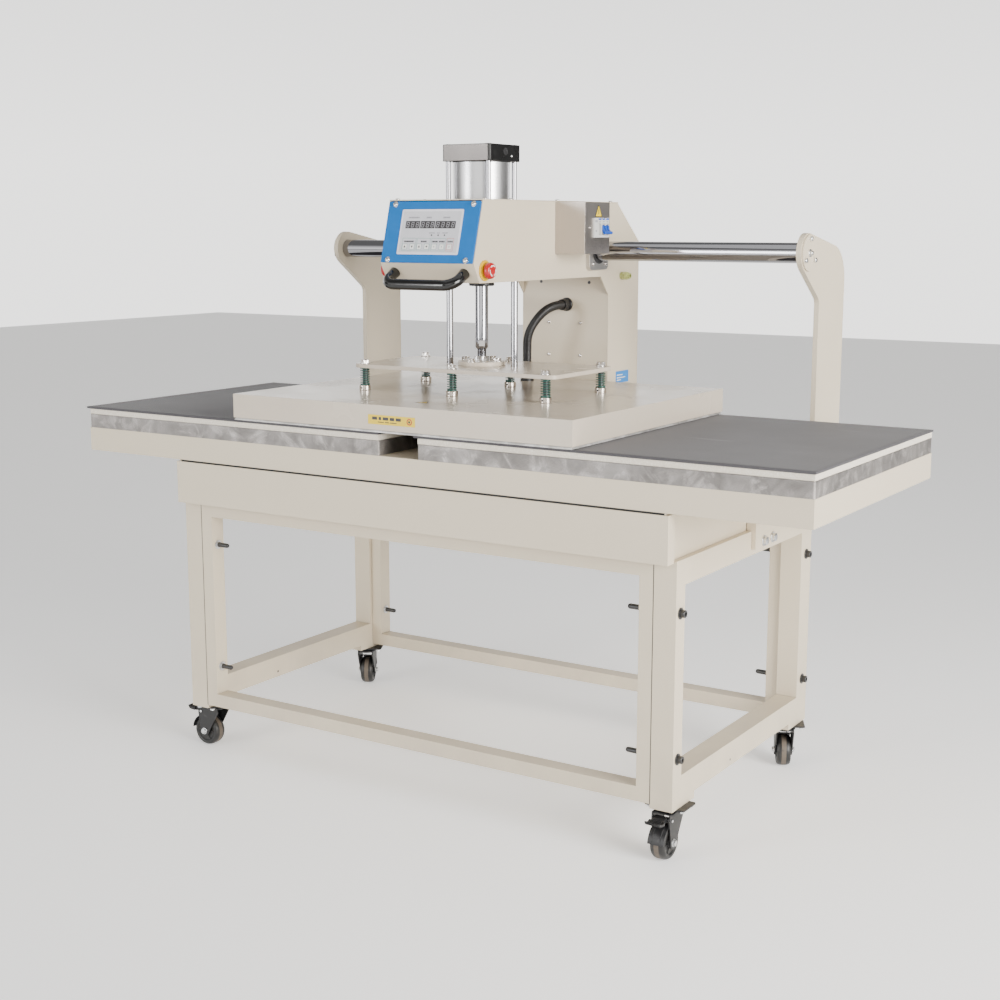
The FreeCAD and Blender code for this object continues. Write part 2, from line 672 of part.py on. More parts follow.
def brackets():
    """The two plates that carry the slide shaft behind the table."""
    outline = [
        ("bracket_front", "frame_top"), ("bracket_front", "bracket_foot_z"),
        ("bracket_neck", "bracket_foot_z"), ("bracket_neck", "bracket_neck_z"),
        ("boss_low_y", "boss_low_z"), ("boss_top_y", "boss_top_z"),
        ("bracket_rear", "bracket_shoulder_z"), ("bracket_rear", "bracket_rear_z"),
        ("frame_rear + 1", "bracket_rear_z"), ("frame_rear + 1", "frame_top"),
    ]
    rounds = [(6, "bracket_shoulder"), (3, "20"), (7, "20"), (1, "12")]
    pieces = []
    caps = []
    for sign, side in SIDES:
        name = "bracket_" + side
        x = "bracket_inner" if sign > 0 else "-bracket_inner - bracket_thick"
        sheet_plate = plate(name + "_plate", "YZ_Plane", outline, "bracket_thick", (x, "0", "0"), rounds=rounds)
        boss = rod(name + "_boss", "boss_radius", "bracket_thick", (x, "shaft_y", "shaft_z"), "X")
        edges = sorted(("%d * frame_half" % sign, "%d * (frame_half + lug_thick)" % sign), key=number)
        lug = box(name + "_lug", (edges[0], "bracket_front", "lug_z"),
                  (edges[1], "bracket_front + lug_length", "tray_z - 1"))
        holes = [rod(name + "_shaft_hole", "shaft_radius", "bracket_thick", (x, "shaft_y", "shaft_z"), "X")]
        for i in range(2):
            holes.append(rod("%s_lug_hole_%d" % (name, i), "bolt_radius", "lug_thick",
                             (edges[0], "lug_bolt_y + %d * lug_bolt_pitch" % i, "lug_bolt_z"), "X"))
        pieces.append(cut(name, fuse(name + "_solid", [sheet_plate, boss, lug]), holes))
        caps.append(rod("shaft_cap_" + side, "cap_radius", "cap_thick",
                        ("%d * frame_half" % sign, "shaft_y", "shaft_z"), "X" if sign > 0 else "-X"))
    sub_part(group("brackets_group", pieces), "brackets")
    sub_part(group("shaft_caps_group", caps), "shaft_caps")
    sub_part(rod("slide_shaft_bar", "shaft_radius", "2 * frame_half", ("-frame_half", "shaft_y", "shaft_z"), "X"),
             "slide_shaft")
    outside = box("rail_outside", ("-bracket_inner", "rail_y", "rail_z"),
                  ("bracket_inner", "rail_y + rail_size", "rail_z + rail_size"))
    inside = box("rail_inside", ("-bracket_inner", "rail_y + rail_wall", "rail_z + rail_wall"),
                 ("bracket_inner", "rail_y + rail_size - rail_wall", "rail_z + rail_size - rail_wall"))
    sub_part(cut("lower_guide_rail_tube", outside, [inside]), "lower_guide_rail")


# ---------------------------------------------------------------- casters

CASTERS = (("front_left", -1, "caster_front_y", 180), ("front_right", 1, "caster_front_y", 270),
           ("rear_left", -1, "caster_rear_y", 117), ("rear_right", 1, "caster_rear_y", 117))


def stand_caster(obj, sign, y, angle):
    """Turn a caster piece about its swivel axis and put it under its foot."""
    obj.Placement = FreeCAD.Placement(FreeCAD.Vector(), FreeCAD.Rotation(FreeCAD.Vector(0, 0, 1), angle))
    return move(obj, "%d * caster_x" % sign, y, "0")


def caster(corner, sign, y, angle):
    """Top plate, fork, wheel and brake pedal, drawn with the swivel axis at x = y = 0."""
    crown_top = "(foot_z - plate_thick - 6)"
    name = "caster_plate_" + corner
    top = box(name + "_top", ("-30", "-46", "foot_z - plate_thick"), ("30", "46", "foot_z"), local=True)
    race = rod(name + "_race", "22", "6 - slide_gap", ("0", "0", crown_top + " + slide_gap"), local=True)
    pin = rod(name + "_pin", "kingpin_radius", "12", ("0", "0", crown_top + " - 9"), local=True)
    plate_piece = stand_caster(fuse(name, [top, race, pin]), sign, y, angle)

    name = "caster_fork_" + corner
    crown = box(name + "_crown", ("-24", "-cheek_gap - cheek_thick", crown_top + " - 5"),
                ("40", "cheek_gap + cheek_thick", crown_top), local=True)
    cheeks = []
    for side in (-1, 1):
        low = "cheek_gap" if side > 0 else "-cheek_gap - cheek_thick"
        high = "cheek_gap + cheek_thick" if side > 0 else "-cheek_gap"
        cheeks.append(box("%s_cheek_%d" % (name, side + 1), ("caster_trail - 14", low, "wheel_radius"),
                          ("caster_trail + 14", high, crown_top + " - 4"), local=True))
        cheeks.append(box("%s_web_%d" % (name, side + 1), ("-14", low, "wheel_radius + 24"),
                          ("caster_trail", high, crown_top + " - 4"), local=True))
        cheeks.append(rod("%s_ear_%d" % (name, side + 1), "14", "cheek_thick",
                          ("caster_trail", low, "wheel_radius"), "Y", local=True))
    bore = rod(name + "_bore", "kingpin_radius + fit_gap", "30", ("0", "0", crown_top + " - 20"), local=True)
    pivot = rod(name + "_pivot", "3 + fit_gap", "60", ("pedal_x", "-30", "pedal_z"), "Y", local=True)
    axle = rod(name + "_axle", "axle_radius", "2 * (cheek_gap + cheek_thick) + 8",
               ("caster_trail", "-cheek_gap - cheek_thick - 4", "wheel_radius"), "Y", local=True)
    ends = [hexagon("%s_nut_%d" % (name, i), "7", "5", ("caster_trail", start, "wheel_radius"), "Y", local=True)
            for i, start in enumerate(("-cheek_gap - cheek_thick - 5", "cheek_gap + cheek_thick"))]
    fork = stand_caster(cut(name, fuse(name + "_solid", [crown] + cheeks + [axle] + ends), [bore, pivot]),
                        sign, y, angle)

    name = "caster_wheel_" + corner
    tyre = turned(name, [("axle_radius + fit_gap", "-wheel_width / 2"), ("wheel_radius", "-wheel_width / 2"),
                         ("wheel_radius", "wheel_width / 2"), ("axle_radius + fit_gap", "wheel_width / 2")],
                  rounds=[(1, "wheel_round"), (2, "wheel_round")])
    turn_z = FreeCAD.Rotation(FreeCAD.Vector(0, 0, 1), angle)
    tyre.Placement = FreeCAD.Placement(FreeCAD.Vector(), turn_z.multiply(TURN_TO["Y"]))
    away = turn_z.multVec(FreeCAD.Vector(1, 0, 0))
    move(tyre, "%d * caster_x + %.6f * caster_trail" % (sign, away.x),
         "%s + %.6f * caster_trail" % (y, away.y), "wheel_radius")

    name = "caster_pedal_" + corner
    lever = box(name + "_lever", ("pedal_x - 4", "-14", "pedal_z - 3"),
                ("pedal_x + pedal_length", "14", "pedal_z + 1"), local=True)
    lip = box(name + "_lip", ("pedal_x + pedal_length - 14", "-17", "pedal_z - 3"),
              ("pedal_x + pedal_length", "17", "pedal_z + 3"), local=True)
    pin = rod(name + "_pin", "3", "2 * (cheek_gap + cheek_thick) + 2",
              ("pedal_x", "-cheek_gap - cheek_thick - 1", "pedal_z"), "Y", local=True)
    pedal = stand_caster(fuse(name, [lever, lip, pin]), sign, y, angle)
    sub_part(fork, "caster_fork_" + corner)
    sub_part(tyre, "caster_wheel_" + corner)
    sub_part(pedal, "caster_pedal_" + corner)
    return plate_piece


# ---------------------------------------------------------------- carriage

def cx(text):
    """A place across the carriage, from its middle."""
    return "carriage_x + (%s)" % text


def head_and_column():
    outline = [
        ("chin_y", "head_z"), ("face_low_y", "face_low_z"), ("face_top_y", "face_top_z"),
        ("face_top_y + 1", "head_top"), ("roof_rear", "head_top"), ("column_rear", "column_slope_z"),
        ("column_rear", "column_z"), ("column_front", "column_z"), ("column_front", "gusset_z"),
        ("gusset_y", "head_z"),
    ]
    holes = ((("shaft_y", "shaft_z"), "bearing_radius"), (("stop_y", "stop_z"), "stop_barrel"))
    inner = "(head_half - side_sheet)"
    for sign, side in SIDES:
        x = cx(inner) if sign > 0 else cx("-head_half")
        sub_part(plate("side_sheet_" + side, "YZ_Plane", outline, "side_sheet", (x, "0", "0"), holes),
                 "side_plate_" + side)

    roof = box("roof", (cx("-head_half"), "face_top_y", "head_top"), (cx("head_half"), "roof_rear + 2", ROOF_TOP))
    opening = box("roof_opening", (cx("-roof_hole / 2"), "-roof_hole / 2", "head_top"),
                  (cx("roof_hole / 2"), "roof_hole / 2", ROOF_TOP))
    sub_part(cut("roof_cut", roof, [opening]), "head_top_cover")

    band = [
        ("column_front - 0.5", "head_z"), ("chin_y", "head_z"), ("face_low_y", "face_low_z"),
        ("face_top_y", "face_top_z"), ("face_top_y + 3.1", "face_top_z"), ("face_low_y + 3.1", "face_low_z"),
        ("chin_y + 1.8", BELLY_TOP), ("column_front - 0.5", BELLY_TOP),
    ]
    belly = plate("belly_sheet_band", "YZ_Plane", band, "2 * " + inner, (cx("-" + inner), "0", "0"))
    holes = [rod("belly_rod_hole", "rod_radius + 1", "belly_sheet", (cx("0"), "0", "head_z"))]
    for sign, side in SIDES:
        holes.append(rod("belly_bush_hole_" + side, "bush_radius", "belly_sheet",
                         (cx("%d * guide_x" % sign), "0", "head_z")))
    sub_part(cut("belly_cut", belly, holes), "head_belly")

    front = box("column_front_sheet", (cx("-" + inner), "column_front", "column_z + sheet_wall"),
                (cx(inner), "column_front + sheet_wall", "head_z"))
    floor = box("column_floor", (cx("-" + inner), "column_front", "column_z"),
                (cx(inner), "column_rear - sheet_wall", "column_z + sheet_wall"))
    rear_band = [
        ("roof_rear", "head_top"), ("column_rear", "column_slope_z"), ("column_rear", "column_z"),
        ("column_rear - sheet_wall", "column_z"), ("column_rear - sheet_wall", "column_slope_z - 1.4"),
        ("roof_rear - 1.9", "head_top - 2.3"),
    ]
    rear = plate("column_rear_sheet", "YZ_Plane", rear_band, "2 * " + inner, (cx("-" + inner), "0", "0"))
    sub_part(group("column_covers_group", [front, floor, rear]), "column_covers")

    shoes = []
    for sign, side in SIDES:
        low = cx("60") if sign > 0 else cx("-110")
        high = cx("110") if sign > 0 else cx("-60")
        block = box("shoe_block_" + side, (low, "rail_y - 10", "rail_z + 10"),
                    (high, "rail_y + rail_size + 10", "column_z"))
        slot = box("shoe_slot_" + side, (low, "rail_y - slide_gap", "rail_z + 10"),
                   (high, "rail_y + rail_size + slide_gap", "rail_z + rail_size + slide_gap"))
        shoes.append(cut("guide_shoe_" + side, block, [slot]))
    sub_part(group("guide_shoes_group", shoes), "guide_shoes")


def on_face(obj, y="face_low_y - 0.05", z="face_low_z", angle="-face_tilt"):
    """Tilt an object that is drawn on an upright face and put it on the slope."""
    obj.Placement = FreeCAD.Placement(FreeCAD.Vector(), FreeCAD.Rotation(FreeCAD.Vector(1, 0, 0), 1))
    obj.setExpression("Placement.Rotation.Angle", expr(angle))
    return move(obj, cx("0"), y, z)


def controls():
    bezel = box("bezel", ("-bezel_half", "-bezel_thick", "0"), ("bezel_half", "0", "face_length"), local=True)
    sub_part(on_face(group("bezel_group", [bezel])), "control_bezel")
    overlay = box("overlay", ("-overlay_half", "-bezel_thick - overlay_thick", "overlay_low"),
                  ("overlay_half", "-bezel_thick", "overlay_low + overlay_height"), local=True)
    sub_part(on_face(group("overlay_group", [overlay])), "keypad_panel")

    bend = "handle_bend"
    reach = "(handle_reach - handle_bend)"
    half = "(handle_half - handle_bend)"
    bars = [rod("handle_bar", "handle_radius", "2 * " + half, ("-" + half, "-handle_reach", "0"), "X", local=True)]
    for sign, side in SIDES:
        bars.append(rod("handle_leg_" + side, "handle_radius", reach, ("%d * handle_half" % sign, "0", "0"), "-Y",
                        local=True))
        corner = doc.addObject("Part::Torus", "handle_corner_" + side)
        corner.Placement = FreeCAD.Placement(
            FreeCAD.Vector(), FreeCAD.Rotation(FreeCAD.Vector(0, 0, 1), 270 if sign > 0 else 180))
        corner.Angle3 = 90
        bind(corner, Radius1=bend, Radius2="handle_radius")
        bars.append(move(corner, "%d * %s" % (sign, half), "-" + reach, "0", local=True))
    handle = fuse("handle_bars", bars)
    sub_part(on_face(handle, "handle_y", "handle_z", "chin_tilt"), "pull_handle")

    screws = []
    on_slope = []
    for i, x in enumerate(("-face_screw_half", "face_screw_half")):
        for j, z in enumerate(("face_screw_low", "face_screw_high")):
            on_slope.append(dome("bezel_screw_%d_%d" % (i, j), "5.5", (x, "-bezel_thick", z), "-Y", local=True))
    screws.append(on_face(group("bezel_screws", on_slope)))
    for i, x in enumerate((-46, 46)):
        for j, z in enumerate((964, 1046)):
            screws.append(dome("column_screw_%d_%d" % (i, j), "4", (cx(str(x)), "column_front", str(z)), "-Y"))
    for i, x in enumerate(("-head_half + 8", "head_half - 8")):
        for j, y in enumerate((-165, -60, 144, 402)):
            screws.append(dome("roof_screw_%d_%d" % (i, j), "5", (cx(x), str(y), ROOF_TOP)))
    for i, y in enumerate(("-flange_pitch / 2", "flange_pitch / 2")):
        for j, z in enumerate(("-flange_pitch / 2", "flange_pitch / 2")):
            for sign, side in SIDES:
                spot = (cx("%d * (head_half + flange_thick)" % sign), "shaft_y + " + y, "shaft_z + " + z)
                screws.append(rod("flange_screw_%s_%d_%d" % (side, i, j), "4.5", "4", spot,
                                  "X" if sign > 0 else "-X"))
    screws.append(dome("switch_screw", "3.5", (cx("head_half + switch_depth"), "146", "1284"), "X"))
    sub_part(group("machine_screws_group", screws), "machine_screws")


def emergency_stops():
    collars = []
    for sign, side in SIDES:
        axis = "X" if sign > 0 else "-X"
        collar = turned("stop_collar_" + side, [
            ("stop_stem + 0.35", "-stop_barrel_length"), ("stop_barrel", "-stop_barrel_length"),
            ("stop_barrel", "0"), ("stop_disc", "0"), ("stop_disc", "stop_collar"),
            ("stop_stem + 0.35", "stop_collar")], (cx("%d * head_half" % sign), "stop_y", "stop_z"), axis)
        collars.append(collar)
        button = turned("stop_button_" + side, [
            ("0", "-8"), ("stop_stem", "-8"), ("stop_stem", "stop_gap"), ("stop_head - 3", "stop_gap"),
            ("stop_head", "stop_gap + 4"), ("stop_head - 1", "stop_gap + 8"),
            ("stop_head - 6", "stop_gap + stop_head_height - 1"), ("0", "stop_gap + stop_head_height")],
            (cx("%d * head_half" % sign), "stop_y", "stop_z"), axis)
        sub_part(button, "estop_button_" + side)
    sub_part(group("estop_collars_group", collars), "estop_collars")


def switch():
    low = (cx("head_half"), "switch_front", "switch_z")
    high = (cx("head_half + switch_depth"), "switch_front + switch_length", "switch_z + switch_height")
    outside, inside = shell("switch", low, high, "switch_sheet", "-x")
    window = box("switch_window", (cx("head_half + switch_depth - 5"), "breaker_y", "nose_z"),
                 (cx("head_half + switch_depth + 5"), "breaker_y + breaker_length", "nose_z + nose_height"))
    sub_part(cut("switch_box_cut", outside, [inside, window]), "switch_box")
    back = cx("head_half + switch_depth - switch_sheet - 0.2")
    body = box("breaker_case", (back + " - breaker_depth", "breaker_y", "breaker_z"),
               (back, "breaker_y + breaker_length", "breaker_z + breaker_height"))
    nose = box("breaker_nose", (back, "breaker_y", "nose_z"),
               (cx("head_half + switch_depth + nose_proud"), "breaker_y + breaker_length", "nose_z + nose_height"))
    recess = box("breaker_recess", (back + " - 8", "toggle_y - 1", "toggle_z - 17"),
                 (cx("head_half + switch_depth + nose_proud"), "toggle_y + toggle_length + 1", "toggle_z + 17"))
    sub_part(cut("breaker_cut", fuse("breaker_solid", [body, nose]), [recess]), "breaker_body")
    drum = rod("toggle_drum", "toggle_radius", "toggle_length", ("0", "0", "0"), "Y", local=True)
    levers = [box("toggle_lever_%d" % i, ("0", "%d" % (12 * i), "-2"), ("toggle_reach", "%d" % (12 * i + 8), "2"),
                  local=True) for i in range(3)]
    bar = rod("toggle_bar_rod", "toggle_bar", "toggle_length", ("toggle_reach", "0", "0"), "Y", local=True)
    toggle = fuse("toggle_solid", [drum, bar] + levers)
    toggle.Placement = FreeCAD.Placement(FreeCAD.Vector(), FreeCAD.Rotation(FreeCAD.Vector(0, 1, 0), 45))
    sub_part(move(toggle, cx("head_half + switch_depth"), "toggle_y", "toggle_z"), "breaker_toggle")


def shaft_bearings():
    bearings = []
    for sign, side in SIDES:
        edges = sorted(("%d * head_half" % sign, "%d * (head_half + flange_thick)" % sign), key=number)
        corners = [("shaft_y + (%s)" % y, "shaft_z + (%s)" % z)
                   for y, z in rectangle("flange_size / 2", "flange_size / 2")]
        flange = plate("bearing_flange_" + side, "YZ_Plane", corners, "flange_thick", (cx(edges[0]), "0", "0"),
                       rounds=[(i, "12") for i in range(4)])
        axis = "X" if sign > 0 else "-X"
        start = (cx("%d * (head_half + flange_thick - bearing_length)" % sign), "shaft_y", "shaft_z")
        sleeve = rod("bearing_sleeve_" + side, "bearing_radius", "bearing_length", start, axis)
        bore = rod("bearing_bore_" + side, "shaft_radius + fit_gap", "bearing_length", start, axis)
        bearings.append(cut("linear_bearing_" + side, fuse("bearing_solid_" + side, [flange, sleeve]), [bore]))
    sub_part(group("linear_bearings_group", bearings), "linear_bearings")
    sub_part(turned("fitting_turn", [
        ("0", "0"), ("fitting_radius", "0"), ("fitting_radius", "fitting_length"), ("4", "fitting_length"),
        ("4", "fitting_length - 18"), ("0", "fitting_length - 18")],
        (cx("head_half"), "fitting_y", "fitting_z"), "X"), "exhaust_fitting")


def cylinder():
    half = "block_size / 2"
    heads = []
    for name, z, hole in (("base", BELLY_TOP, "rod_radius + 1"), ("cap", BARREL_Z + " + barrel_length", None)):
        circles = [(("0", "0"), hole)] if hole else []
        heads.append(plate("cylinder_" + name, "XY_Plane", rectangle(half, half), "block_height",
                           (cx("0"), "0", z), circles, [(i, "4") for i in range(4)]))
    port = rod("air_port", "6", "12", (cx("block_size / 2 - 12"), "0", BARREL_Z + " + barrel_length + 22"), "X")
    heads[1] = cut("cylinder_cap_ported", heads[1], [port])
    sub_part(group("cylinder_heads_group", heads), "cylinder_heads")
    outside = rod("barrel_outside", "barrel_radius", "barrel_length", (cx("0"), "0", BARREL_Z))
    inside = rod("barrel_inside", "barrel_bore", "barrel_length", (cx("0"), "0", BARREL_Z))
    sub_part(cut("barrel_tube", outside, [inside]), "cylinder_barrel")
    ties = [rod("tie_rod_%d_%d" % (i + 1, j + 1), "tie_radius", "barrel_length",
                (cx("%d * tie_offset" % i), "%d * tie_offset" % j, BARREL_Z))
            for i in (-1, 1) for j in (-1, 1)]
    sub_part(group("tie_rods_group", ties), "tie_rods")
    gland = cut("rod_gland", rod("gland_ring", "gland_radius", "gland_height", (cx("0"), "0", "head_z - gland_height")),
                [rod("gland_bore", "rod_radius + fit_gap", "gland_height", (cx("0"), "0", "head_z - gland_height"))])
    bushes = [gland]
    for sign, side in SIDES:
        spot = (cx("%d * guide_x" % sign), "0", "head_z")
        bushes.append(cut("guide_bush_" + side, rod("bush_" + side, "bush_radius", "bush_height", spot),
                          [rod("bush_bore_" + side, "guide_radius + fit_gap", "bush_height", spot)]))
    sub_part(group("rod_bushes_group", bushes), "rod_bushes")


def hose_and_glands():
    upper = [("0", "0"), ("hose_gland_radius + 2.5", "0"), ("hose_gland_radius + 2.5", "6"),
             ("hose_gland_radius", "6"), ("hose_gland_radius", "hose_gland_length - 5"),
             ("hose_gland_radius - 1.5", "hose_gland_length"), ("0", "hose_gland_length")]
    sub_part(turned("upper_gland_turn", upper, (cx("hose_gland_x"), "column_front", "hose_gland_z"), "-Y"),
             "hose_gland_upper")
    lower = [("0", "0"), ("hose_gland_radius + 2.5", "0"), ("hose_gland_radius + 2.5", "8"),
             ("hose_gland_radius", "8"), ("hose_gland_radius", "low_gland_height - 6"),
             ("hose_gland_radius - 1.5", "low_gland_height"), ("0", "low_gland_height")]
    sub_part(turned("lower_gland_turn", lower, (cx("low_gland_x"), "low_gland_y", COVER_TOP)), "hose_gland_lower")

    # the route runs out of the upper gland towards the operator and turns down to the lower gland
    top = FreeCAD.Vector(size("carriage_x") + size("hose_gland_x"),
                         size("column_front") - size("hose_gland_length"), size("hose_gland_z"))
    foot = FreeCAD.Vector(size("carriage_x") + size("low_gland_x"), size("low_gland_y"),
                          size("cover_z") + size("cover_height") + size("low_gland_height")
                          + 2 * size("slide_gap"))
    route = [
        top,
        top + FreeCAD.Vector(0, -47, 0),
        top + FreeCAD.Vector(-15, -88, -25),
        foot + FreeCAD.Vector(11, -17, 77.4),
        foot + FreeCAD.Vector(0, 0, 30.3),
        foot,
    ]
    radius = size("hose_radius")
    path = tangent_path(route)
    profile = Part.Wire([Part.Circle(route[0], route[1] - route[0], radius).toShape()])
    tube = path.makePipeShell([profile], True, False, 2)
    spare = abs(tube.Volume - math.pi * radius ** 2 * path.Length)
    if spare > 0.02 * tube.Volume:
        raise SystemExit("the hose's volume is not its section times its length")
    print("hose length %.1f" % path.Length)
    hose = doc.addObject("Part::Feature", "hose_tube")
    hose.Shape = tube
    hose.Placement = FreeCAD.Placement(FreeCAD.Vector(size("centre_x"), size("centre_y"), 0), FreeCAD.Rotation())
    sub_part(hose, "hose")


def tangent_path(route):
    """Straight runs joined by arcs that touch them, each arc as large as its two runs allow."""
    edges = []
    at = route[0]
    for before, corner, after in zip(route, route[1:], route[2:]):
        back = (before - corner).normalize()
        ahead = (after - corner).normalize()
        half = back.getAngle(ahead) / 2
        reach = 0.45 * min((before - corner).Length, (after - corner).Length)
        radius = reach * math.tan(half)
        print("hose radius %.1f" % radius)
        start = corner + back * reach
        end = corner + ahead * reach
        middle_way = (back + ahead).normalize()
        middle = corner + middle_way * (radius / math.sin(half) - radius)
        edges.append(Part.LineSegment(at, start).toShape())
        edges.append(Part.Arc(start, middle, end).toShape())
        at = end
    edges.append(Part.LineSegment(at, route[-1]).toShape())
    return Part.Wire(edges)


# ---------------------------------------------------------------- press head

POSTS = [("%d * post_x" % i, "%d * post_y" % j) for i in (-1, 0, 1) for j in (-1, 1)]
DISC_BOLTS = (("disc_bolt_circle", "0"), ("-disc_bolt_circle", "0"), ("0", "disc_bolt_circle"),
              ("0", "-disc_bolt_circle"))


def press_head():
    middle = (cx("0"), "0", "plate_z")
    holes = [(spot, "post_radius + post_gap") for spot in POSTS]
    holes += [(spot, "bolt_radius") for spot in DISC_BOLTS]
    holes += [(("%d * guide_x" % sign, "0"), "guide_radius") for sign, side in SIDES]
    sub_part(plate("pressure_sheet", "XY_Plane", rectangle("plate_half_x", "plate_half_y"), "plate_height",
                   middle, holes, [(i, "plate_corner") for i in range(4)]), "pressure_plate")
    disc = rod("flange_disc", "disc_radius", "disc_height", (cx("0"), "0", PLATE_TOP))
    holes = [rod("flange_centre", "neck_radius", "disc_height", (cx("0"), "0", PLATE_TOP))]
    bolts = []
    for i, (x, y) in enumerate(DISC_BOLTS):
        holes.append(rod("flange_hole_%d" % i, "bolt_radius", "disc_height", (cx(x), y, PLATE_TOP)))
        shank = rod("flange_bolt_shank_%d" % i, "bolt_radius", "plate_height + disc_height", (cx(x), y, "plate_z"))
        washer = rod("flange_bolt_washer_%d" % i, "hex_radius", "1.6", (cx(x), y, DISC_TOP))
        head = hexagon("flange_bolt_head_%d" % i, "hex_radius - 0.6", "hex_height", (cx(x), y, DISC_TOP + " + 1.6"))
        bolts.append(fuse("flange_bolt_%d" % i, [shank, washer, head]))
    sub_part(cut("rod_flange_disc", disc, holes), "rod_flange")
    nut = cut("rod_nut", hexagon("rod_nut_solid", "nut_radius", "nut_height", (cx("0"), "0", DISC_TOP)),
              [rod("rod_nut_bore", "neck_radius", "nut_height", (cx("0"), "0", DISC_TOP))])
    sub_part(group("flange_fasteners_group", bolts + [nut]), "flange_fasteners")
    neck_top = "neck_length"
    piston = "(piston_z - %s)" % PLATE_TOP
    sub_part(turned("piston_rod_turn", [
        ("0", "0"), ("neck_radius", "0"), ("neck_radius", neck_top), ("rod_radius", neck_top + " + 3"),
        ("rod_radius", piston), ("barrel_bore - piston_gap", piston),
        ("barrel_bore - piston_gap", piston + " + piston_height"), ("0", piston + " + piston_height")],
        (cx("0"), "0", PLATE_TOP)), "piston_rod")
    guides = [rod("guide_rod_" + side, "guide_radius", "guide_top - plate_z", (cx("%d * guide_x" % sign), "0", "plate_z"))
              for sign, side in SIDES]
    sub_part(group("guide_rods_group", guides), "guide_rods")
    springs = []
    seat = "(%s + collar_height + slide_gap)" % COVER_TOP
    for i, (x, y) in enumerate(POSTS):
        outside = rod("spring_outside_%d" % i, "spring_radius", "plate_z - " + seat, (cx(x), y, seat))
        inside = rod("spring_inside_%d" % i, "spring_bore", "plate_z - " + seat, (cx(x), y, seat))
        springs.append(cut("plate_spring_%d" % i, outside, [inside]))
    sub_part(group("plate_springs_group", springs), "plate_springs")


# ---------------------------------------------------------------- platen

def platen():
    sub_part(box("heating_slab", (cx("-heater_half_x"), "-heater_half_y", HEATER_Z),
                 (cx("heater_half_x"), "heater_half_y", HEATER_Z + " + heater_thick")), "heating_plate")
    outside, inside = shell("cover", (cx("-cover_half_x"), "-cover_half_y", "cover_z"),
                            (cx("cover_half_x"), "cover_half_y", COVER_TOP), "cover_sheet", "-z")
    holes = [rod("cover_hole_%d" % i, "post_radius", "cover_sheet", (cx(x), y, COVER_TOP + " - cover_sheet"))
             for i, (x, y) in enumerate(POSTS)]
    sub_part(cut("platen_cover_cut", outside, [inside] + holes), "platen_cover")
    posts = []
    foot = "(%s + heater_thick)" % HEATER_Z
    washer_z = "(%s + slide_gap)" % PLATE_TOP
    for i, (x, y) in enumerate(POSTS):
        shank = rod("post_shank_%d" % i, "post_radius", washer_z + " - " + foot, (cx(x), y, foot))
        collar = rod("post_collar_%d" % i, "collar_radius", "collar_height", (cx(x), y, COVER_TOP))
        washer = rod("post_washer_%d" % i, "washer_radius", "washer_thick", (cx(x), y, washer_z))
        head = hexagon("post_head_%d" % i, "hex_radius + 0.6", "hex_height + 1",
                       (cx(x), y, washer_z + " + washer_thick"))
        posts.append(fuse("spring_post_%d" % i, [shank, collar, washer, head]))
    sub_part(group("spring_posts_group", posts), "spring_posts")


# ---------------------------------------------------------------- build and write

stand()
base_box()
table()
brackets()
caster_plates = [caster(*spot) for spot in CASTERS]
sub_part(group("caster_plates_group", caster_plates), "caster_plates")
head_and_column()
controls()
emergency_stops()
switch()
shaft_bearings()
cylinder()
hose_and_glands()
press_head()
platen()
doc.removeObject("probe")
doc.recompute()

for obj in doc.Objects:
    if "Invalid" in obj.State or "Error" in obj.State:
        raise SystemExit("%s did not build: %s" % (obj.Name, obj.State))
for obj in SUB_PARTS:
    if obj.Shape.isNull() or not obj.Shape.isValid() or not obj.Shape.Solids:
        raise SystemExit("%s is not a valid solid" % obj.Label)

os.makedirs("parts", exist_ok=True)
for obj in SUB_PARTS:
    obj.Shape.exportStep("parts/%s.step" % obj.Label)
print("wrote %d sub-parts" % len(SUB_PARTS))
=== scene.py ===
import json
import math

import bmesh
import bpy
from mathutils import Matrix, Vector


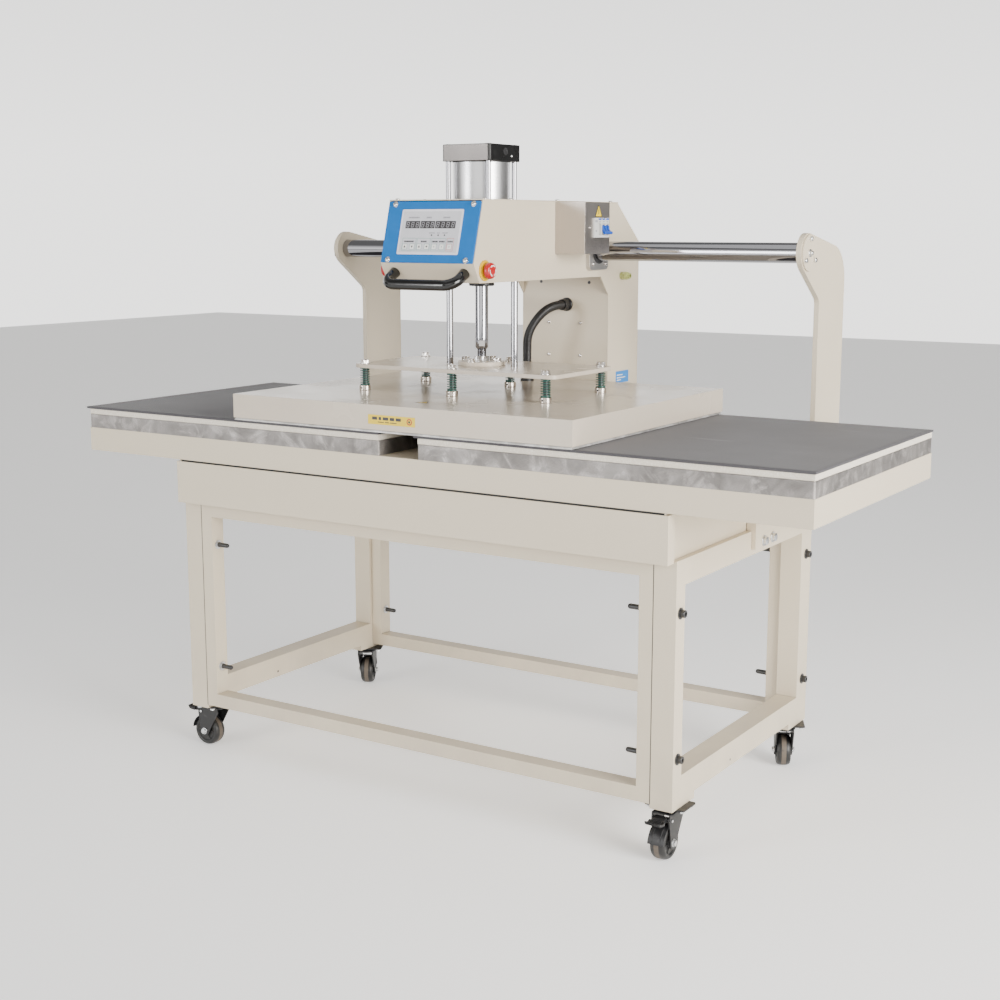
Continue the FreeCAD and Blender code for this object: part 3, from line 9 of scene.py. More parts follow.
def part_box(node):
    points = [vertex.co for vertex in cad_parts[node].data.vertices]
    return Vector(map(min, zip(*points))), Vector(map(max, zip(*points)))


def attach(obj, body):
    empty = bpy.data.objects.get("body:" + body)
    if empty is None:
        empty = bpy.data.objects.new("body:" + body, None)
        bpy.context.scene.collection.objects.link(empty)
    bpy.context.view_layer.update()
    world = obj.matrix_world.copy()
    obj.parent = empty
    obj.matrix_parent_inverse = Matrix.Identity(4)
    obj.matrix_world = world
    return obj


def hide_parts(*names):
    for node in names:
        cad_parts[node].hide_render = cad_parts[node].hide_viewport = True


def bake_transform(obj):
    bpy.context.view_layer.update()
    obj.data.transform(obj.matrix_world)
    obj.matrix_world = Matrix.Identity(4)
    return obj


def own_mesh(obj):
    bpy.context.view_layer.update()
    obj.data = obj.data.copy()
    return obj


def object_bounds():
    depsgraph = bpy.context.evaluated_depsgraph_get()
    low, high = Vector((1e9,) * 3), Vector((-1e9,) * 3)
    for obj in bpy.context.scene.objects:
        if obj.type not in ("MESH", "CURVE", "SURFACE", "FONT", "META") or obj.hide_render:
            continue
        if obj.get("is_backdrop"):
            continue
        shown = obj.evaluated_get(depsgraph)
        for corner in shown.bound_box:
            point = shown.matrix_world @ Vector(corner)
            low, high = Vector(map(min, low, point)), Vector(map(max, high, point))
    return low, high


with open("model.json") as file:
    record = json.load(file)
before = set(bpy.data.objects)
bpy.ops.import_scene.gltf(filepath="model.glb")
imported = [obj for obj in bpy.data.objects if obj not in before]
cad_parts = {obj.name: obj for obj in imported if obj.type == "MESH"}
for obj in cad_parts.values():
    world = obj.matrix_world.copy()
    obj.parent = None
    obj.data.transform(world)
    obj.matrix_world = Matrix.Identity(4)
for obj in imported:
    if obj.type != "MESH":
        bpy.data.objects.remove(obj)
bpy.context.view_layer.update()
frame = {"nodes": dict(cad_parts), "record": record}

# ---- places
# Places are written in millimetres from the middle of the two beds, heights from the floor.
bed_low, bed_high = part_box("beds")
MIDDLE_X = (bed_low[0] + bed_high[0]) / 2
MIDDLE_Y = (bed_low[1] + bed_high[1]) / 2
roof_low, roof_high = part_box("head_top_cover")
HEAD_X = ((roof_low[0] + roof_high[0]) / 2 - MIDDLE_X) * 1000
QUARTER = math.pi / 2
AXES = {
    "Z": Matrix(),
    "-Z": Matrix.Rotation(math.pi, 4, "X"),
    "X": Matrix.Rotation(QUARTER, 4, "Y"),
    "-X": Matrix.Rotation(-QUARTER, 4, "Y"),
    "Y": Matrix.Rotation(-QUARTER, 4, "X"),
    "-Y": Matrix.Rotation(QUARTER, 4, "X"),
}
SIDES = ((-1, "-X"), (1, "X"))  # left and right, with the axis that points outwards
HEAD_SIDE = 125  # the head's side plates, from HEAD_X
COLUMN_FRONT = 383
SHAFT_Y, SHAFT_Z = 314, 1227.6  # the axis of the slide's shaft


def at(x, y, z):
    return Vector((MIDDLE_X + x / 1000, MIDDLE_Y + y / 1000, z / 1000))


def spun(degrees, axis="Z"):
    return Matrix.Rotation(math.radians(degrees), 4, axis)


def place(x, y, z, axis="Z", spin=0.0):
    """The matrix of a piece drawn at its own origin, whose +Z ends up along axis."""
    return Matrix.Translation(at(x, y, z)) @ AXES[axis] @ spun(spin)


def on_head(x, y, z, axis="Z", spin=0.0):
    """The same, with x from the middle of the head."""
    return place(HEAD_X + x, y, z, axis, spin)


def shift(x, y, z):
    return Matrix.Translation(Vector((x, y, z)) / 1000)


def heights(node):
    return [corner[2] * 1000 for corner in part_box(node)]


ORIGIN = Matrix.Translation(at(0, 0, 0))


# ---- mesh tools
def hexagon_reach(angle, radius):
    """Distance from the middle to a hexagon's edge, with its corners at radius."""
    turn = (angle % (math.pi / 3)) - math.pi / 6
    return radius * math.cos(math.pi / 6) / math.cos(turn)


def cross_reach(angle, radius):
    """The outline of a cross recess."""
    turn = abs((angle + math.pi / 4) % QUARTER - math.pi / 4)
    return radius if turn < 0.3 else radius * 0.38


REACH = {"round": lambda angle, radius: radius, "hex": hexagon_reach, "cross": cross_reach}


def arc(cx, cy, radius, start, end, steps):
    """Points from one angle to the other, in degrees."""
    turns = [math.radians(start + (end - start) * i / steps) for i in range(steps + 1)]
    return [(cx + radius * math.cos(turn), cy + radius * math.sin(turn)) for turn in turns]


def disc(cx, radius, sides):
    return arc(cx, 0, radius, 0, 360, sides)[:-1]


def circle(radius, sides):
    turns = [2 * math.pi * i / sides for i in range(sides)]
    return [(radius * math.cos(turn), radius * math.sin(turn)) for turn in turns]


def round_rect(x0, x1, y0, y1, radius, steps=5):
    """The outline of a rectangle with round corners."""
    left, right, front, back = x0 + radius, x1 - radius, y0 + radius, y1 - radius
    corners = ((right, front, -90), (right, back, 0), (left, back, 90), (left, front, 180))
    points = []
    for cx, cy, start in corners:
        for i in range(steps + 1):
            turn = math.radians(start + 90 * i / steps)
            points.append((cx + radius * math.cos(turn), cy + radius * math.sin(turn)))
    return points


def rim_points(x0, x1, y0, y1, along_x, along_y):
    """Points round a rectangle, beginning at its first corner."""
    corners = [(x0, y0), (x1, y0), (x1, y1), (x0, y1), (x0, y0)]
    points = []
    for (ax, ay), (bx, by), count in zip(corners, corners[1:], (along_x, along_y) * 2):
        points += [(ax + (bx - ax) * i / count, ay + (by - ay) * i / count) for i in range(count)]
    return points


def walls(n, levels):
    """The faces between one ring of n points and the next."""
    return [(base + i, base + (i + 1) % n, base + n + (i + 1) % n, base + n + i)
            for base in range(0, (levels - 1) * n, n) for i in range(n)]


def lids(n, levels):
    """The faces that close the first and the last ring."""
    return [tuple(range(n)), tuple(range((levels - 1) * n, levels * n))]


class Shape:
    """One object's mesh, gathered from lathed, extruded and swept pieces in millimetres."""

    def __init__(self):
        self.bm = bmesh.new()

    def faces(self, points, loops, where, slot=0):
        corners = [self.bm.verts.new(where @ (Vector(p) / 1000)) for p in points]
        for loop in loops:
            face = self.bm.faces.new([corners[i] for i in loop])
            face.material_index = slot
            face.smooth = True

    def lathe(self, profile, where, sides=32, slot=0):
        """profile is a list of (radius, height) or (radius, height, outline)."""
        points = []
        rings = []
        for step in profile:
            radius, height = step[:2]
            reach = REACH[step[2] if len(step) > 2 else "round"]
            if radius == 0:
                rings.append([len(points)])
                points.append((0, 0, height))
                continue
            rings.append(list(range(len(points), len(points) + sides)))
            for i in range(sides):
                angle = 2 * math.pi * i / sides
                r = reach(angle, radius)
                points.append((r * math.cos(angle), r * math.sin(angle), height))
        loops = []
        for a, b in zip(rings, rings[1:]):
            for i in range(sides):
                j = (i + 1) % sides
                if len(a) == 1 and len(b) > 1:
                    loops.append((a[0], b[i], b[j]))
                elif len(b) == 1 and len(a) > 1:
                    loops.append((a[i], a[j], b[0]))
                elif len(a) > 1:
                    loops.append((a[i], a[j], b[j], b[i]))
        self.faces(points, loops, where, slot)

    def rod(self, radius, low, high, where, sides=20, slot=0):
        self.lathe([(0, low), (radius, low), (radius, high), (0, high)], where, sides, slot)

    def prism(self, outline, height, where, slot=0):
        """An outline in XY, extruded along +Z."""
        points = [(x, y, z) for z in (0.0, height) for x, y in outline]
        n = len(outline)
        self.faces(points, lids(n, 2) + walls(n, 2), where, slot)

    def block(self, low, high, where=ORIGIN, slot=0):
        x0, y0, z0 = low
        x1, y1, z1 = high
        outline = [(x0, y0), (x1, y0), (x1, y1), (x0, y1)]
        self.prism(outline, z1 - z0, where @ shift(0, 0, z0), slot)

    def sweep(self, line, section, where=Matrix(), up=None, scale=None):
        """section is a list of (across, upward) points, carried along the line."""
        line = [Vector(p) for p in line]
        points = []
        side = None
        for i, p in enumerate(line):
            ahead = (line[min(i + 1, len(line) - 1)] - line[max(i - 1, 0)]).normalized()
            if up is not None:
                side = ahead.cross(up).normalized()
            elif side is None:
                side = ahead.orthogonal().normalized()
            else:
                side = (side - ahead * side.dot(ahead)).normalized()
            over = side.cross(ahead)
            size = scale[i] if scale else 1.0
            points += [p + side * u * size + over * v * size for u, v in section]
        n = len(section)
        self.faces(points, lids(n, len(line)) + walls(n, len(line)), where)

    def screw(self, where, radius, height, slot=0, recess="cross"):
        """A pan head with a recess."""
        self.lathe([(0, 0), (radius, 0), (radius, height * 0.35), (radius * 0.92, height * 0.68),
                    (radius * 0.7, height * 0.93), (radius * 0.5, height),
                    (radius * 0.44, height, recess), (radius * 0.3, height * 0.35, recess),
                    (0, height * 0.3)], where, 32, slot)

    def socket_screw(self, where, radius, height, slot=0):
        """A socket head: a cylinder with a hexagonal recess."""
        self.lathe([(0, 0), (radius, 0), (radius, height - 0.8), (radius - 0.8, height),
                    (radius * 0.62, height), (radius * 0.56, height, "hex"),
                    (radius * 0.54, height * 0.45, "hex"), (0, height * 0.4)], where, 24, slot)

    def hex_bolt(self, where, radius, height, washer, washer_height, slot=0):
        """A hexagon head with a chamfered top, on a washer."""
        low = washer_height
        self.lathe([(0, 0), (washer, 0), (washer, low - 0.3), (washer - 0.3, low), (0, low)],
                   where, 32, slot)
        self.lathe([(0, low), (radius, low, "hex"), (radius, low + height * 0.78, "hex"),
                    (radius * 0.93, low + height * 0.92), (radius * 0.82, low + height),
                    (0, low + height)], where, 24, slot)

    def finish(self, name, body, looks, replaces="", bevel=0.0, sharp=35, segments=2):
        """looks and replaces are strings of names. The slot is the first look, or as said."""
        looks = looks.split()
        bmesh.ops.remove_doubles(self.bm, verts=self.bm.verts, dist=1e-7)
        bmesh.ops.recalc_face_normals(self.bm, faces=self.bm.faces)
        mesh = bpy.data.meshes.new(name)
        self.bm.to_mesh(mesh)
        self.bm.free()
        mesh.set_sharp_from_angle(angle=math.radians(sharp))
        piece = bpy.data.objects.new(name, mesh)
        bpy.context.collection.objects.link(piece)
        for look in looks:
            mesh.materials.append(LOOKS[look])
        if bevel:
            rim = piece.modifiers.new("rim", "BEVEL")
            rim.width = bevel / 1000
            rim.segments = segments
            rim.limit_method = "ANGLE"
            rim.angle_limit = math.radians(40)
            rim.use_clamp_overlap = True
        if body:
            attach(piece, body)
        if replaces:
            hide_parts(*replaces.split())
        return piece


# ---- materials
LOOKS = {}


class Nodes:
    """A node tree and short ways to fill it."""

    def __init__(self, tree):
        self.tree = tree

    def add(self, kind, **inputs):
        """Each input is a number, a colour or another node's output."""
        new = self.tree.nodes.new("ShaderNode" + kind)
        for name, value in inputs.items():
            self.put(new.inputs[name.replace("_", " ")], value)
        return new

    def put(self, socket, value):
        if isinstance(value, bpy.types.NodeSocket):
            self.tree.links.new(value, socket)
        elif value is not None:
            socket.default_value = value

    def math(self, operation, a, b, kind="Math"):
        new = self.add(kind)
        new.operation = operation
        self.put(new.inputs[0], a)
        self.put(new.inputs[1], b)
        return new.outputs["Value"]

    def times(self, a, b):
        return self.math("MULTIPLY", a, b)

    def dot(self, a, b):
        return self.math("DOT_PRODUCT", a, b, "VectorMath")

    def span(self, value, low, high, out_low=0.0, out_high=1.0, way="LINEAR"):
        new = self.add("MapRange", Value=value, From_Min=low, From_Max=high, To_Min=out_low,
                       To_Max=out_high)
        new.interpolation_type = way
        return new.outputs[0]


class Look(Nodes):
    """A node material in the making: each method adds one kind of detail."""

    def __init__(self, name, color, rough, metal=0.0, soft_edge=0.0, **sockets):
        self.name = name
        self.material = bpy.data.materials.new(name)
        self.material.use_nodes = True
        super().__init__(self.material.node_tree)
        self.shader = self.tree.nodes["Principled BSDF"]
        for socket, value in {"Metallic": metal, **sockets}.items():
            self.shader.inputs[socket.replace("_", " ")].default_value = value
        self.space = self.add("TexCoord").outputs["Object"]
        self.color = (*color, 1.0)
        self.rough = rough
        self.normal = self.rounded(soft_edge) if soft_edge else None

    def rounded(self, width):
        """The normal, as if edges were rounded to this width."""
        new = self.add("Bevel", Radius=width / 1000)
        new.samples = 3
        return new.outputs[0]

    def noise(self, scale, detail=3.0, stretch=None, rough=0.55, turn=None, distortion=0.0):
        space = self.space
        if stretch or turn:
            space = self.add("Mapping", Vector=space, Scale=stretch, Rotation=turn).outputs[0]
        return self.add("TexNoise", Vector=space, Scale=scale, Detail=detail, Roughness=rough,
                        Distortion=distortion).outputs[0]

    def tint(self, color, mask):
        """Lays a colour over what is there, where the mask is."""
        new = self.add("Mix")
        new.data_type = "RGBA"
        for index, value in ((0, mask), (6, self.color), (7, (*color, 1.0))):
            self.put(new.inputs[index], value)
        self.color = new.outputs[2]
        return self

    def mottle(self, color, scale, amount, detail=3.0, low=0.35, high=0.65, **more):
        """Clouds of another colour."""
        return self.tint(color, self.span(self.noise(scale, detail, **more), low, high, 0.0, amount))

    def roughen(self, scale, amount, **more):
        """Varies the roughness by amount either way."""
        spread = self.span(self.noise(scale, **more), 0.3, 0.7, -amount, amount)
        self.rough = self.math("ADD", self.rough, spread)
        return self

    def bump(self, height, distance, strength=1.0):
        new = self.add("Bump", Height=height, Distance=distance / 1000, Strength=strength)
        self.put(new.inputs["Normal"], self.normal)
        self.normal = new.outputs[0]
        return self

    def scratches(self, color, amount, scale, stretch, turn, low, high, depth):
        """Thin marks along one direction."""
        mask = self.span(self.noise(scale, 2.0, stretch, 0.6, turn), low, high)
        self.tint(color, self.times(mask, amount))
        return self.bump(mask, depth, 0.5)

    def worn_edges(self, color, amount, width=1.2, scale=60.0):
        """Where two faces meet, the finish is rubbed thin in places."""
        wide = self.rounded(width)
        flat = self.add("NewGeometry").outputs["Normal"]
        edge = self.span(self.dot(wide, flat), 0.995, 0.86)
        broken = self.span(self.noise(scale, 4.0), 0.42, 0.62)
        return self.tint(color, self.times(self.times(edge, broken), amount))

    def dusty(self, color, amount, top=0.35, bottom=0.05):
        """Floor dust on what is low down."""
        split = self.add("SeparateXYZ", Vector=self.space)
        low = self.span(split.outputs[2], top, bottom)
        patch = self.span(self.noise(9.0, 4.0), 0.35, 0.7)
        return self.tint(color, self.times(self.times(low, patch), amount))

    def crease_shade(self, color, amount, reach=7.0):
        """Painted shade: darker colour where parts meet and in hollows, from an ambient occlusion mask."""
        shade_mask = self.add("AmbientOcclusion", Distance=reach / 1000)
        shade_mask.samples = 4
        return self.tint(color, self.span(shade_mask.outputs["AO"], 0.75, 0.15, 0.0, amount))

    def done(self):
        for socket, value in (("Base Color", self.color), ("Roughness", self.rough),
                              ("Normal", self.normal)):
            self.put(self.shader.inputs[socket], value)
        LOOKS[self.name] = self.material
        return self.material


def scaled(color, factor):
    return [min(1.0, c * factor) for c in color]


def powder(name, color, rough, dust=0.0, edge=0.35, grain=1.0):
    """Powder coat: cloudy colour, orange peel, thin rubbed edges."""
    look = Look(name, color, rough, soft_edge=0.9, Coat_Weight=0.12, Coat_Roughness=0.3)
    look.mottle(scaled(color, 0.93), 1.6, 0.6, 4.0)
    look.mottle((0.62, 0.56, 0.48), 14.0, 0.09, 5.0, 0.48, 0.75)
    look.mottle(scaled(color, 1.06), 420.0, 0.35, 2.0)
    look.worn_edges((0.40, 0.34, 0.27), edge)
    # painted shade: darker where parts meet and in hollows
    look.crease_shade((0.10, 0.085, 0.07), 0.8)
    if dust:
        look.dusty((0.42, 0.36, 0.29), dust)
    look.roughen(7.0, 0.06)
    look.bump(look.noise(520.0, 2.0), 0.05 * grain, 0.6)
    look.bump(look.noise(60.0, 2.0), 0.12 * grain, 0.25)
    look.done()


def brushed(name, color, rough, stretch, smear=0.25, dark=0.7):
    """Ground or brushed metal, with smears and fine scratches along the brushing."""
    look = Look(name, color, rough, 1.0, soft_edge=0.9)
    look.mottle(scaled(color, dark), 220.0, 0.55, 3.0, stretch=stretch)
    look.mottle(scaled(color, 0.8), 7.0, smear, 5.0, 0.4, 0.7)
    look.mottle(scaled(color, 1.15), 2.2, smear, 3.0)
    look.roughen(160.0, 0.08, stretch=stretch)
    look.roughen(5.0, 0.06)
    look.bump(look.noise(300.0, 2.0, stretch), 0.02, 0.5)
    look.done()


def sanded(name, color):
    """Rough-sanded plate edges: swirling light and dark smears over fine scratches."""
    look = Look(name, color, 0.60, 1.0, soft_edge=1.5)
    look.mottle(scaled(color, 0.45), 9.0, 0.75, 4.0, 0.38, 0.68, distortion=1.8)
    look.mottle(scaled(color, 1.7), 13.0, 0.8, 5.0, 0.48, 0.70, distortion=2.4)
    look.mottle(scaled(color, 0.6), 240.0, 0.6, 3.0, stretch=(1, 1, 9))
    look.roughen(12.0, 0.14, distortion=1.5)
    look.roughen(150.0, 0.06, stretch=(1, 1, 9))
    look.bump(look.noise(14.0, 3.0, distortion=2.0), 0.9, 0.5)
    look.bump(look.noise(330.0, 2.0, (1, 1, 12)), 0.03, 0.5)
    look.done()


def polished(name, color, rough, stretch=(1, 1, 1), haze=0.04):
    """Hard chrome or nickel: a mirror with faint haze, fine turning lines and specks."""
    look = Look(name, color, rough, 1.0, soft_edge=0.6)
    look.mottle(scaled(color, 0.82), 260.0, 0.3, 2.0, stretch=stretch)
    look.mottle(scaled(color, 0.7), 900.0, 0.4, 2.0, 0.66, 0.74)
    look.roughen(40.0, haze)
    look.bump(look.noise(500.0, 2.0, stretch), 0.004, 0.4)
    look.done()


def plastic(name, color, rough, grain=0.05, scuff=(0.25, 0.25, 0.25), scuffs=0.06, coat=0.0,
            **sockets):
    """Moulded plastic or rubber with fine grain and light scuffs."""
    look = Look(name, color, rough, 0.0, soft_edge=0.5, Coat_Weight=coat, **sockets)
    look.mottle(scaled(color, 0.8), 30.0, 0.35, 4.0)
    look.mottle(scuff, 55.0, scuffs, 6.0, 0.58, 0.75)
    look.roughen(24.0, 0.06)
    look.bump(look.noise(900.0, 2.0), grain, 0.5)
    look.done()


CREAM = (0.62, 0.54, 0.41)
PALE_CREAM = (0.63, 0.55, 0.42)
powder("cream_paint", CREAM, 0.46, dust=0.5)
powder("bracket_paint", PALE_CREAM, 0.44)
powder("head_paint", PALE_CREAM, 0.40)
powder("platen_paint", (0.56, 0.49, 0.40), 0.24, grain=0.6)
powder("flange_paint", (0.63, 0.555, 0.455), 0.35)
sanded("cast_aluminium", (0.36, 0.34, 0.325))
sanded("aluminium", (0.78, 0.77, 0.75))
brushed("barrel_aluminium", (0.66, 0.66, 0.67), 0.30, (1, 1, 20), smear=0.1, dark=0.9)
brushed("rail_steel", (0.42, 0.42, 0.43), 0.38, (22, 1, 1))
brushed("bearing_steel", (0.60, 0.585, 0.57), 0.36, (1, 1, 8), smear=0.15)
brushed("stainless", (0.52, 0.48, 0.45), 0.34, (30, 30, 1), smear=0.2, dark=0.75)
polished("hard_chrome", (0.36, 0.36, 0.38), 0.05, (1, 1, 1))
polished("screw_steel", (0.74, 0.71, 0.68), 0.20, (1, 1, 1), 0.06)
polished("zinc", (0.70, 0.71, 0.72), 0.28, (1, 1, 1), 0.08)
polished("nickel", (0.76, 0.70, 0.63), 0.20, (1, 1, 12), 0.05)
plastic("black_steel", (0.022, 0.022, 0.023), 0.38, 0.02, scuffs=0.10)
plastic("black_plastic", (0.012, 0.012, 0.013), 0.42, 0.04)
plastic("handle_black", (0.004, 0.004, 0.004), 0.14, 0.01, scuffs=0.01, coat=0.2)
plastic("hose_black", (0.011, 0.011, 0.012), 0.40, 0.03, scuffs=0.05)
plastic("caster_black", (0.010, 0.010, 0.011), 0.42, 0.05, scuffs=0.12)
plastic("caster_tread", (0.012, 0.012, 0.012), 0.42, 0.05, (0.16, 0.13, 0.10), 0.25)
plastic("tread_band", (0.11, 0.088, 0.068), 0.66, 0.08, (0.02, 0.018, 0.016), 0.9)
plastic("stop_yellow", (0.72, 0.44, 0.0), 0.38, 0.02, (0.6, 0.4, 0.05), 0.1)
plastic("stop_red", (0.42, 0.003, 0.006), 0.28, 0.02, (0.7, 0.25, 0.2), 0.08, 0.3)
plastic("print_white", (0.80, 0.80, 0.78), 0.5, 0.01, scuffs=0.02)
plastic("print_black", (0.03, 0.03, 0.032), 0.5, 0.01, scuffs=0.02)
plastic("print_grey", (0.33, 0.33, 0.36), 0.5, 0.01, scuffs=0.02)
plastic("print_teal", (0.20, 0.40, 0.36), 0.5, 0.01, scuffs=0.02)
plastic("print_pink", (0.55, 0.16, 0.16), 0.5, 0.01, scuffs=0.02)
plastic("label_yellow", (0.76, 0.54, 0.0), 0.34, 0.01, (0.75, 0.6, 0.2), 0.08)
plastic("label_blue", (0.02, 0.22, 0.62), 0.34, 0.01, scuffs=0.03)
plastic("overlay_grey", (0.58, 0.58, 0.62), 0.42, 0.015, (0.55, 0.55, 0.58), 0.1)
plastic("overlay_edge", (0.74, 0.73, 0.80), 0.40, 0.015, (0.7, 0.7, 0.74), 0.1)
plastic("display_dark", (0.035, 0.032, 0.034), 0.16, 0.005, scuffs=0.03, coat=0.5)
plastic("bezel_blue", (0.0, 0.13, 0.42), 0.5, 0.02, (0.02, 0.19, 0.45), 0.15, Specular_IOR_Level=0.25)
plastic("breaker_white", (0.60, 0.60, 0.58), 0.42, 0.02, (0.6, 0.59, 0.55), 0.1)
plastic("toggle_blue", (0.0, 0.075, 0.48), 0.30, 0.01, scuffs=0.03, coat=0.2)
plastic("spring_green", (0.006, 0.075, 0.055), 0.36, 0.02, (0.2, 0.25, 0.22), 0.1, 0.3)
brushed("cylinder_grey", (0.13, 0.12, 0.115), 0.34, (24, 24, 1), smear=0.9)
# near-black, used as a painted dark reflection on the cylinder blocks' side faces
plastic("cylinder_dark", (0.006, 0.006, 0.006), 0.30, 0.02, scuffs=0.03, Specular_IOR_Level=0.35)

fitting = Look("fitting_green", (0.52, 0.56, 0.16), 0.28, soft_edge=0.4, Transmission_Weight=0.35, IOR=1.46,
               Coat_Weight=0.3)
fitting.mottle((0.60, 0.66, 0.24), 60.0, 0.5)
fitting.mottle((0.85, 0.86, 0.55), 25.0, 0.4)
fitting.roughen(40.0, 0.05).bump(fitting.noise(700.0), 0.02, 0.4)
fitting.done()

foam = Look("foam", (0.70, 0.645, 0.54), 0.82, soft_edge=1.2, Sheen_Weight=0.15, Sheen_Roughness=0.6)
foam.mottle((0.68, 0.62, 0.52), 6.0, 0.5, 5.0, 0.4, 0.75)
foam.mottle((0.55, 0.50, 0.42), 700.0, 0.5, 2.0, 0.56, 0.70)
foam.mottle((0.90, 0.87, 0.80), 240.0, 0.5, 3.0, 0.5, 0.7)
foam.roughen(90.0, 0.08).bump(foam.noise(620.0, 3.0), 0.25, 0.7)
foam.done()

mat = Look("mat_grey", (0.050, 0.047, 0.054), 0.70, soft_edge=0.8, Sheen_Weight=0.10, Sheen_Roughness=0.45)
mat.mottle((0.070, 0.067, 0.074), 1.7, 0.7, 5.0, 0.38, 0.68)
mat.mottle((0.050, 0.048, 0.053), 4.5, 0.6, 6.0, 0.5, 0.75)
mat.mottle((0.10, 0.097, 0.10), 520.0, 0.4, 2.0, 0.55, 0.72)
weave_x = mat.add("TexWave", Vector=mat.space, Scale=260.0, Distortion=0.6).outputs[1]
turned = mat.add("Mapping", Vector=mat.space, Rotation=(0, 0, QUARTER))
weave_y = mat.add("TexWave", Vector=turned.outputs[0], Scale=260.0, Distortion=0.6).outputs[1]
mat.scratches((0.15, 0.145, 0.15), 0.35, 3.0, (1, 9, 1), (0, 0, 0.5), 0.68, 0.74, 0.01)
mat.roughen(3.0, 0.08).bump(mat.times(weave_x, weave_y), 0.06, 0.6)
mat.done()
# every CAD node starts with its own slot's material
for part in frame["record"]["subparts"]:
    node = frame["nodes"][part["node"]]
    for index in range(max(1, len(node.material_slots))):
        if node.material_slots:
            node.material_slots[index].material = LOOKS[part["material_slot"]]
        else:
            node.data.materials.append(LOOKS[part["material_slot"]])


# ---- hose
# The route repeats the points of the solid's route, in metres.
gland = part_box("hose_gland_upper")
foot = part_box("hose_gland_lower")
hose_start = Vector(((gland[0][0] + gland[1][0]) / 2, gland[0][1], (gland[0][2] + gland[1][2]) / 2))
hose_end = Vector(((foot[0][0] + foot[1][0]) / 2, (foot[0][1] + foot[1][1]) / 2, foot[1][2] + 0.0006))
ROUTE = [
    hose_start,
    hose_start + Vector((0, -0.047, 0)),
    hose_start + Vector((-0.015, -0.088, -0.025)),
    hose_end + Vector((0.011, -0.017, 0.0774)),
    hose_end + Vector((0, 0, 0.0303)),
    hose_end,
]
STEP = 0.0008  # between the rings of the hose's mesh
RIB_PITCH, RIB_DEPTH = 0.0036, 0.00045


def route_line(route, steps):
    """Points along the smooth line that the route's points control."""
    curve = bpy.data.curves.new("route", "CURVE")
    curve.dimensions = "3D"
    curve.resolution_u = steps
    spline = curve.splines.new("NURBS")
    spline.points.add(len(route) - 1)
    for point, spot in zip(spline.points, route):
        point.co = (*spot, 1)
    spline.order_u = 3
    spline.use_endpoint_u = True
    holder = bpy.data.objects.new("route", curve)
    bpy.context.collection.objects.link(holder)
    bpy.context.view_layer.update()
    mesh = bpy.data.meshes.new_from_object(holder)
    line = [v.co.copy() for v in mesh.vertices]
    bpy.data.objects.remove(holder)
    return line


def even_line(line, gap):
    """The same line with points that are gap apart."""
    points = [line[0].copy()]
    left = gap
    for a, b in zip(line, line[1:]):
        run = (b - a).length
        walked = 0.0
        while run - walked >= left:
            walked += left
            points.append(a.lerp(b, walked / run))
            left = gap
        left -= run - walked
    if (points[-1] - line[-1]).length > gap * 0.3:
        points.append(line[-1].copy())
    return points


line = route_line(ROUTE, 40)
steps = even_line(line, STEP)
waves = [math.cos(2 * math.pi * i * STEP / RIB_PITCH) for i in range(len(steps))]
tube = Shape()
tube.sweep([p * 1000 for p in steps], circle(1, 28),
           scale=[(0.0110 - RIB_DEPTH * (1 - wave)) * 1000 for wave in waves])
hose = tube.finish("hose_corrugated", None, "hose_black", sharp=70)
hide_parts("hose")
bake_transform(hose)


# ---- glands, fitting
def gland_piece(name, node, where, body, height):
    """A flange, a hexagon and a ribbed sleeve, whose bore widens towards the hose."""
    shape = Shape()
    shape.lathe([(0, 0), (17, 0), (17, 4.5), (16, 5.5), (0, 5.5)], where, 36)
    shape.lathe([(0, 5.5), (15.2, 5.5, "hex"), (15.2, 12, "hex"), (14.4, 12.8), (14.4, 13.4),
                 (0, 13.4)], where, 36)
    rings = [(0, 13.4)]
    z = 13.4
    while z < height - 6:
        rings += [(14.3, z), (14.3, z + 1.7), (13.5, z + 2.0), (13.5, z + 2.6)]
        z += 2.6
    rings += [(14.2, z), (14.2, height - 2), (13.6, height), (12.5, height), (11.4, height - 16),
              (0, height - 16)]
    shape.lathe(rings, where, 36)
    shape.finish(name, body, "black_plastic", node)


gland_piece("gland_upper", "hose_gland_upper", on_head(6, COLUMN_FRONT, 1092, "-Y"), "carriage", 27)
gland_piece("gland_lower", "hose_gland_lower", on_head(-42, 270, 905.7), "platen", 39.3)

fitting_shape = Shape()
fitting_shape.lathe([(0, 0), (9.6, 0, "hex"), (9.6, 5, "hex"), (8.2, 5.6), (8.2, 7), (10, 7.6),
                     (10, 18), (9.2, 19), (9.2, 20.5), (7.2, 21), (7.2, 24.6), (6.6, 26), (4.2, 26),
                     (4.2, 9), (0, 9)], on_head(HEAD_SIDE, 449, 1164, "X"), 36)
fitting_shape.finish("air_fitting", "carriage", "fitting_green", "exhaust_fitting")


